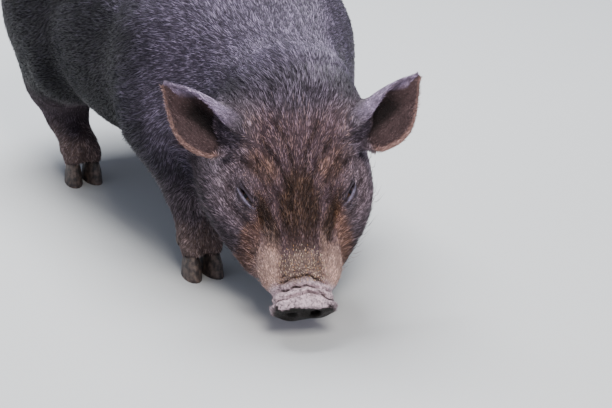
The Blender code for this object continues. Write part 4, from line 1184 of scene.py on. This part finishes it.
# Claws and dewclaws: horn grown in fine rings, slate brown with paler places, dull and dusty from
# the ground. They are the solids themselves, with a material of their own.
horn = Finish("claw_horn", 0.5)
rings = horn.add("ShaderNodeTexWave", {"wave_type": "BANDS", "bands_direction": "Z"},
                 Vector=horn.place(), Scale=160.0, Distortion=2.5, Detail=2.0)
dust = horn.noise(160.0, 4.0)
shell = horn.mix(horn.step(dust, 0.35, 0.7), tone(50, 42, 40), tone(104, 88, 80))
horn.feed(Base_Color=shell, Roughness=0.42 + dust * 0.3, Normal=horn.bump(rings * 0.5 + dust, 0.00022))
for name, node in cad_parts.items():
    if name.startswith(("claw", "dewclaw")):
        for material_slot in node.material_slots:
            material_slot.material = horn.material


# Coat: coarse bristles that lie back along the body and up the face, as closed tufts about half to one
# millimetre thick, rooted in the skin, with painted shade darkening each root and about a third of them pale
# at the tip. They are longest on the tail, shortest on the muzzle, and stop at the snout and the claws.
SINK = 0.0006                       # how deep a tuft's root is under the skin
# Tufts per square metre, length, thickness, and degrees that they stand up, for each zone
COAT = {
    "body": (205e3, 0.0140, 0.00082, 9.5),
    "neck": (440e3, 0.0084, 0.00072, 10.0),
    "head": (690e3, 0.0067, 0.00066, 13.0),
    "muzzle": (1000e3, 0.0030, 0.00052, 18.0),
    "ear": (460e3, 0.0038, 0.00052, 8.0),
    "leg": (340e3, 0.0066, 0.00068, 9.0),
    "tail": (300e3, 0.0120, 0.00080, 12.0),
}
TUFT_RING = 0.36                    # share of its length where a tuft is thickest
TUFT_CORNERS = ((0.0, 0.62), (0.5, -0.35), (-0.5, -0.35))   # of the ring, across and up
TUFT_FLATNESS = 0.55                # how high the ring is beside its width
TUFT_BEND = 0.30                    # share of its steepness that a tuft keeps beyond the ring
TUFT_FACES = np.array(((0, 2, 1), (0, 3, 2), (0, 1, 3), (4, 1, 2), (4, 2, 3), (4, 3, 1)))
FUZZ = (0.65, 18.0)                 # more length, and degrees steeper, on the jowls
TAIL_LOCKS = (2.6, 0.6, 0.55)       # more length, more thickness and less steepness, at the tail's end
WHISKERS = (2.6, 42.0)              # times as long, and degrees that they stand up
SPECKS = (0.8, 0.25)                # more thickness and less length of the golden hairs by the snout
PALE_SHARE = 0.31                   # of the tufts, before it is changed from zone to zone
SHADES = (0.25, 0.38, 0.42)         # of the hide's colour at the root, darkest there as painted shade among the hairs, the ring and the dark tips


def drift(p, size, seed):
    """The way that cloudy noise of that size rises, scaled to about 1."""
    dice = np.random.default_rng(seed)
    ways = unit(dice.normal(size=(6, 3))) * dice.uniform(0.7, 1.4, (6, 1))
    phase = p @ ways.T * 2 * math.pi / size + dice.uniform(0, 2 * math.pi, 6)
    return np.cos(phase) @ ways / 1.6


def blend_rows(first, second, share):
    """Rows of first changed to rows of second by a share for each."""
    return first + (second - first) * share[:, None]


def coat_zones(p):
    """The share of each zone of the coat at points of the skin."""
    q = folded(in_head(p))
    u, v, a = q.T
    _, y, z = p.T
    near, s, _, _ = ear_place(q)
    ear = soft(near, 0.010, 0.006) * soft(s, -0.04, 0.06)
    head = soft(u, -0.03, 0.02) * soft(v, -0.125, -0.095) * soft(a, 0.13, 0.10) * (1 - ear)
    neck = soft(y, -0.07, -0.17) * soft(z, 0.06, 0.13) * (1 - head) * (1 - ear)
    leg = np.zeros(len(p))
    low = np.flatnonzero(z < 0.17)
    for name in FEET:
        leg[low] = np.maximum(leg[low], soft(leg_form(p[low], name), 0.022, 0.004))
    leg = leg * soft(z, 0.15, 0.09) * (1 - neck) * (1 - head) * (1 - ear)
    tail = soft(chain(p, TAIL_PATH, TAIL_RADII, TAIL_BLENDS[0]), 0.012, 0.002) * soft(y, 0.325, 0.350)
    muzzle = head * soft(u, 0.135, 0.180)
    body = (1 - head) * (1 - neck) * (1 - ear) * (1 - leg) * (1 - tail)
    return {"body": body, "neck": neck, "head": head - muzzle, "muzzle": muzzle, "ear": ear,
            "leg": leg * (1 - tail), "tail": tail}


def lie_of(p, normals, zones):
    """The way that the hairs lie at points of the skin, from the nose back to the tail.

    On each zone it is one direction bent by place: down the flanks, rump, chest and legs, up and
    outwards over the forehead, and from the root of an ear to its tip and rim.
    """
    q = in_head(p)
    side = np.sign(q[:, 2])
    count = len(p)
    lateral = soft(np.abs(p[:, 0]), 0.02, 0.12)
    body = np.stack((0 * lateral, 1 + 0 * lateral, -0.45 * lateral), axis=1)
    body = blend_rows(body, np.array((0.0, 0.15, -1.0)), soft(p[:, 1], 0.24, 0.34))
    chest = soft(-normals[:, 1], 0.4, 0.8) * soft(p[:, 2], 0.22, 0.14)
    neck = np.tile((0.0, 1.0, 0.12), (count, 1))
    neck[:, 2] -= 0.55 * soft(np.abs(p[:, 0] + 0.014), 0.03, 0.09)
    neck = blend_rows(neck, np.array((0.0, 0.2, -1.0)), chest)
    leg = np.array((0.0, 0.28, -1.0))
    tail = np.array((0.1, 0.1, -1.0))

    a = np.abs(q[:, 2])
    fan = 0.30 * soft(a, 0.0, 0.03) * soft(q[:, 0], 0.19, 0.08)
    sag = -0.55 * soft(a, 0.030, 0.062) - 0.25 * soft(q[:, 1], -0.01, -0.05)
    head = (np.stack((-np.ones(count), sag, side * fan), axis=1)) @ HEAD
    on_ear = zones["ear"] > 0.05
    at = folded(q)[on_ear]
    ear = np.zeros((count, 3))
    steps = 0.0004 * np.eye(3)
    away = -unit(np.stack([ear_place(at + step)[2] - ear_place(at - step)[2] for step in steps], axis=1))
    outward = (0.10 + 0.45 * soft(ear_place(at)[2], 0.004, 0.001))[:, None]
    local = ear_axis * (1.15 - outward) + away * outward
    local[:, 2] *= side[on_ear]
    ear[on_ear] = local @ HEAD

    ways = (("body", body), ("neck", neck), ("head", head), ("ear", ear), ("leg", leg), ("tail", tail))
    share = {**zones, "head": zones["head"] + zones["muzzle"]}
    return unit(sum(way * share[zone][:, None] for zone, way in ways))


# How many tufts grow on each triangle of the skin: next to none on the snout and round the slits of
# the eyes, and fewer in the ears' cups
dice = np.random.default_rng(11)
triangles = skin_points[skin_faces]
edge_a, edge_b = triangles[:, 1] - triangles[:, 0], triangles[:, 2] - triangles[:, 0]
areas = np.linalg.norm(np.cross(edge_a, edge_b), axis=1) / 2
centres = triangles.mean(axis=1)
shares = coat_zones(centres)
crowd = sum(shares[name] * COAT[name][0] for name in COAT)
q = folded(in_head(centres))
thin_out = 1 - 0.95 * soft(q[:, 0], 0.200, 0.208) * (shares["muzzle"] > 0.5)
local = (q - EYE_CENTRE) @ EYE.T
eye_gap = np.where(np.abs(local[:, 2]) < 0.02, np.hypot(local[:, 0], local[:, 1] * 1.5), 1.0)
thin_out *= soft(eye_gap, 0.0112, 0.0132)
_, _, rim, face = ear_place(q)
in_cup = (shares["ear"] > 0.5) & (face > 0) & (rim > 0.010)
thin_out *= 1 - 0.45 * in_cup
crowd = crowd * thin_out * soft(centres[:, 2], 0.020, 0.026)

# Their roots, evenly spread, and the skin's normals there
total = np.cumsum(areas * crowd)
count = int(total[-1])
pick = np.searchsorted(total, (np.arange(count) + dice.uniform(0, 1, count)) * total[-1] / count)
pick = np.minimum(pick, len(skin_faces) - 1)
side_a, side_b = dice.uniform(0, 1, (2, count))
flip = side_a + side_b > 1
side_a[flip], side_b[flip] = 1 - side_a[flip], 1 - side_b[flip]
weights = np.stack((1 - side_a - side_b, side_a, side_b), axis=1)[:, :, None]
roots = (triangles[pick] * weights).sum(axis=1)
normals = unit((skin_normals[skin_faces[pick]] * weights).sum(axis=1))

# How they lie: the locks wave to and fro, and hairs lean together into them
zones = coat_zones(roots)
lie = lie_of(roots, normals, zones)
swirl = np.cross(normals, lie)
sway = 0.20 * waves(roots, 0.085, 21) + 0.11 * waves(roots, 0.030, 22) + dice.normal(0, 0.08, count)
calm = 1 - 0.45 * zones["muzzle"] - 0.5 * zones["ear"] - 0.35 * zones["leg"]
gathered = (zones["neck"] + zones["head"] + zones["body"])[:, None]
lie = lie + swirl * (sway * calm)[:, None] + 0.15 * drift(roots, 0.009, 23) * gathered
lie = unit(lie - normals * (lie * normals).sum(axis=1)[:, None])

# How long, thick and steep they are: each zone's own sizes, shorter round the eyes and low on the
# legs, longer on the crown, and fuzzy on the jowls
q = in_head(roots)
u, v, a = folded(q).T
length, thick, stand = (sum(zones[name] * COAT[name][k] for name in COAT) for k in (1, 2, 3))
length *= 1 - 0.45 * zones["head"] * patch(u, a, EYE_CENTRE[::2], (0.030, 0.022), -30)
length *= 1 + 0.25 * zones["head"] * soft(u, 0.06, 0.0)
length *= 1 - 0.35 * zones["leg"] * soft(roots[:, 2], 0.06, 0.03)
length *= np.clip(dice.normal(1.0, 0.22, count), 0.45, 1.7)
thick *= np.clip(dice.normal(1.0, 0.18, count), 0.6, 1.5)
fuzz = zones["head"] * soft(v, -0.015, -0.05) * soft(u, 0.185, 0.165)
length *= 1 + FUZZ[0] * fuzz
stand += FUZZ[1] * fuzz
# The tail ends in long locks, the ears' rims in a fringe, and long whiskers stand on lips and chin
hang = zones["tail"] * soft(roots[:, 2], 0.225, 0.190)
length *= 1 + TAIL_LOCKS[0] * hang
thick *= 1 + TAIL_LOCKS[1] * hang
stand *= 1 - TAIL_LOCKS[2] * hang
fringe = zones["ear"] * soft(ear_place(folded(q))[2], 0.0060, 0.0015)
length *= 1 + 0.1 * fringe
length *= 1 - 1.6 * zones["ear"] * (1 - zones["ear"])
whisker = (zones["muzzle"] * soft(v, 0.018, 0.0) + 0.35 * fuzz) > dice.uniform(0, 1, count) * 55
length[whisker] *= WHISKERS[0]
stand[whisker] = WHISKERS[1]
stand = np.radians(stand * np.clip(dice.normal(1.0, 0.35, count), 0.45, 2.2))
stand *= 1 + 0.20 * waves(roots, 0.02, 24)

speckled = zones["muzzle"] * patch(u, a, (0.190, 0.0), (0.026, 0.028)) > dice.uniform(0, 1, count) * 6.5
thick *= 1 + SPECKS[0] * speckled
length *= 1 - SPECKS[1] * speckled


def spindles(roots, normals, lie, length, thick, stand):
    """Five points a tuft: the sunk root, a ring of three where it is thickest, and the tip.

    The first stretch climbs from the skin at the angle stand, and the rest at TUFT_BEND of it.
    """
    across = np.cross(normals, lie)
    climb = np.stack((stand, stand * TUFT_BEND))
    reach = np.stack((length * TUFT_RING, length * (1 - TUFT_RING)))
    steps = (lie * np.cos(climb)[:, :, None] + normals * np.sin(climb)[:, :, None]) * reach[:, :, None]
    ring_at = roots + steps[0]
    points = np.empty((len(roots), 5, 3))
    points[:, 0] = roots - normals * SINK - lie * (thick * 0.5)[:, None]
    for k, (over, up) in enumerate(TUFT_CORNERS, 1):
        points[:, k] = ring_at + (across * over + normals * up * TUFT_FLATNESS) * thick[:, None]
    points[:, 4] = ring_at + steps[1]
    return points


tuft_points = spindles(roots, normals, lie, length, thick, stand)

# Each tuft is the hide's colour, darkened, most at the root as painted shade, and the tips of the pale ones
# are silver, rust or gold
tint, _ = markings(roots)
pale_share = PALE_SHARE + 0.06 * zones["neck"] - 0.08 * zones["body"] + 0.1 * fringe
is_pale = dice.uniform(0, 1, count) < pale_share
pale = np.where(is_pale, dice.uniform(0.62, 1.0, count), dice.uniform(0.0, 0.22, count))
# Fewer pale tips in the hollow behind each ear, as painted shade
pale = np.clip(pale * (1 + 0.35 * waves(roots, 0.014, 25)) * (1 - 0.7 * by_ear(u, v, a)), 0, 1)
level = (tint.sum(axis=1) ** 0.5)[:, None]
silver = tint * 2.5 + np.array((0.120, 0.110, 0.146)) * level
rust = tint * 2.2 + np.array((0.31, 0.185, 0.105)) * level
on_face = (zones["head"] + zones["muzzle"]) * soft(a, 0.070, 0.045) * soft(u, 0.010, 0.060)
rusty = on_face * 0.6 > dice.uniform(0, 1, count)
pale_tint = blend_rows(silver, tint * 1.9 + np.array((0.100, 0.076, 0.074)) * level, zones["ear"] * 0.8)
pale_tint = blend_rows(pale_tint, rust, rusty)
gold = blend_rows(tone(255, 232, 208), tone(238, 172, 106), dice.uniform(0, 1, count) ** 1.5)
pale_tint = blend_rows(pale_tint, gold, speckled)
pale = np.where(speckled, 1.0, pale * (1 - 0.25 * zones["muzzle"]))
tip_colour = blend_rows(tint * SHADES[2], pale_tint, pale)
mid_colour = blend_rows(tint * SHADES[1], tip_colour, 0.35 + 0.5 * pale)
tuft_colours = np.stack((tint * SHADES[0], mid_colour, mid_colour, mid_colour, tip_colour), axis=1)

coat = Finish("coat", 0.5)
hair_colour = coat.attribute("hide", out="Color")
split = coat.noise(2600.0, 2.0)
coat.feed(
    Base_Color=coat.mix(1.0, hair_colour, coat.ramp(split, (0.25, 0.72), (0.75, 1.0)), "MULTIPLY"),
    Roughness=0.42 + split * 0.2,
    Specular_IOR_Level=0.30,
)


# Lashes: stiff dark bristles that stand out of the crest of the eyelids, more and longer ones on the
# upper lid. They are tufts like the others, and go into the coat of the head.
LASHES = 90                         # on each eye
LASH_LENGTH = (0.0030, 0.0038)      # on the lower lid, and how much more on the upper one
LASH_THICKNESS = 0.00034
HEAD_ZONE = 2                       # the head's number among the zones
# Where the tufts are: the zone that is strongest there, and whether that is on the left
strongest = np.array([zones["body"], zones["neck"], zones["head"] + zones["muzzle"], zones["ear"],
                      zones["leg"], zones["tail"]]).argmax(axis=0)
laterality = np.where(strongest == HEAD_ZONE, q[:, 2], roots[:, 0]) > 0
for side, (crest, aim, s) in lash_lines.items():
    odds = soft(s, -0.9, 0.5)
    pick = dice.choice(len(crest), LASHES, p=odds / odds.sum())
    out = unit(crest[pick] - head_to_pig(np.array([EYE_CENTRE]), side))
    spread = 0.2 * dice.normal(size=(LASHES, 3)) * np.linalg.norm(aim[pick], axis=1)[:, None]
    aim = unit(aim[pick] + spread)
    aim = unit(aim - out * (aim * out).sum(axis=1)[:, None])
    long = (LASH_LENGTH[0] + LASH_LENGTH[1] * soft(s[pick], -0.2, 0.7)) * dice.uniform(0.7, 1.3, LASHES)
    stiff = np.radians(dice.uniform(12, 42, LASHES))
    lash_points = spindles(crest[pick], out, aim, long, np.full(LASHES, LASH_THICKNESS), stiff)
    light = blend_rows(tone(30, 24, 24), tone(150, 128, 120), dice.uniform(0, 1, LASHES) ** 2)
    shades = np.stack((light * 0.5, light, light, light, light * 1.2), axis=1)
    tuft_points = np.concatenate((tuft_points, lash_points))
    tuft_colours = np.concatenate((tuft_colours, shades))
    roots = np.concatenate((roots, crest[pick]))
    strongest = np.concatenate((strongest, np.full(LASHES, HEAD_ZONE)))
    laterality = np.concatenate((laterality, np.full(LASHES, side > 0)))


# Pieces of the coat: the tufts of each part of the body, left and right, in meshes of less than
# 200,000 triangles. Each tuft has a patch of the map OFBake round its root's place on the flat skin.
TUFTS_IN_PIECE = 33000
OFBAKE_PATCH = 0.003
OFBAKE_EDGE = (0.005, 0.988)        # of the map, and the share of it that the skin covers


def unwrapped(p, zone):
    """Flat coordinates of the skin: round the barrel, the head, an ear or a leg, and along it."""
    q = in_head(p)
    if zone == "head":
        flat = np.stack((np.arctan2(q[:, 2], q[:, 1] + 0.03), q[:, 0]), axis=1)
    elif zone == "ear":
        _, s, _, face = ear_place(folded(q))
        flat = np.stack(((folded(q) - EAR_ROOT) @ ear_out + 0.12 * (face > 0), s), axis=1)
    elif zone == "leg":
        which = np.array([leg_form(p, name) for name in FEET]).argmin(axis=0)
        feet = np.array([FEET[name] for name in FEET])[which]
        bearing = np.arctan2(p[:, 0] - feet[:, 0], p[:, 1] - feet[:, 1] - 0.03)
        flat = np.stack((bearing + 7 * which, p[:, 2]), axis=1)
    else:
        flat = np.stack((np.arctan2(p[:, 0], p[:, 2] - 0.20), p[:, 1]), axis=1)
    low, high = flat.min(axis=0), flat.max(axis=0)
    return OFBAKE_EDGE[0] + OFBAKE_EDGE[1] * (flat - low) / (high - low)


def coat_piece(name, chosen, zone):
    """One piece of the coat from the chosen tufts, each with its small patch of the OFBake map."""
    faces = (TUFT_FACES[None] + 5 * np.arange(len(chosen))[:, None, None]).reshape(-1, 3)
    mesh = mesh_of(name, tuft_points[chosen].reshape(-1, 3) + shift, faces)
    stain(mesh, tuft_colours[chosen].reshape(-1, 3))
    spots = unwrapped(roots[chosen], zone)
    star = np.array(((0.0, -0.5), (0.0, 0.5), (0.5, 0.0), (-0.5, 0.0), (0.0, 0.0))) * OFBAKE_PATCH
    places = (spots[:, None, :] + star[TUFT_FACES.ravel()][None]).reshape(-1, 2)
    layer = mesh.uv_layers.new(name="OFBake")
    layer.data.foreach_set("uv", places.ravel())
    piece = show(name, mesh, coat.material)
    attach(piece, "root")


kinds = (("body", "hide_body"), ("neck", "hide_neck"), ("head", "hide_head"), ("ear", "hide_ear"),
         ("leg", "hide_leg"), ("tail", "hide_tail"))
for index, (zone, slot_name) in enumerate(kinds):
    for half in ("",) if zone == "tail" else ("_right", "_left"):
        chosen = np.flatnonzero((strongest == index) & ((laterality == (half == "_left")) | (half == "")))
        along = roots[chosen] @ (HEAD[0] if zone == "head" else np.array((0.0, 1.0, 0.0)))
        chosen = chosen[np.argsort(along)]
        parts = -(-len(chosen) // TUFTS_IN_PIECE)
        for part, some in enumerate(np.array_split(chosen, parts)):
            number = "_" + str(part + 1) if parts > 1 else ""
            coat_piece("coat_" + zone + half + number, np.sort(some), zone)


low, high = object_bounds()
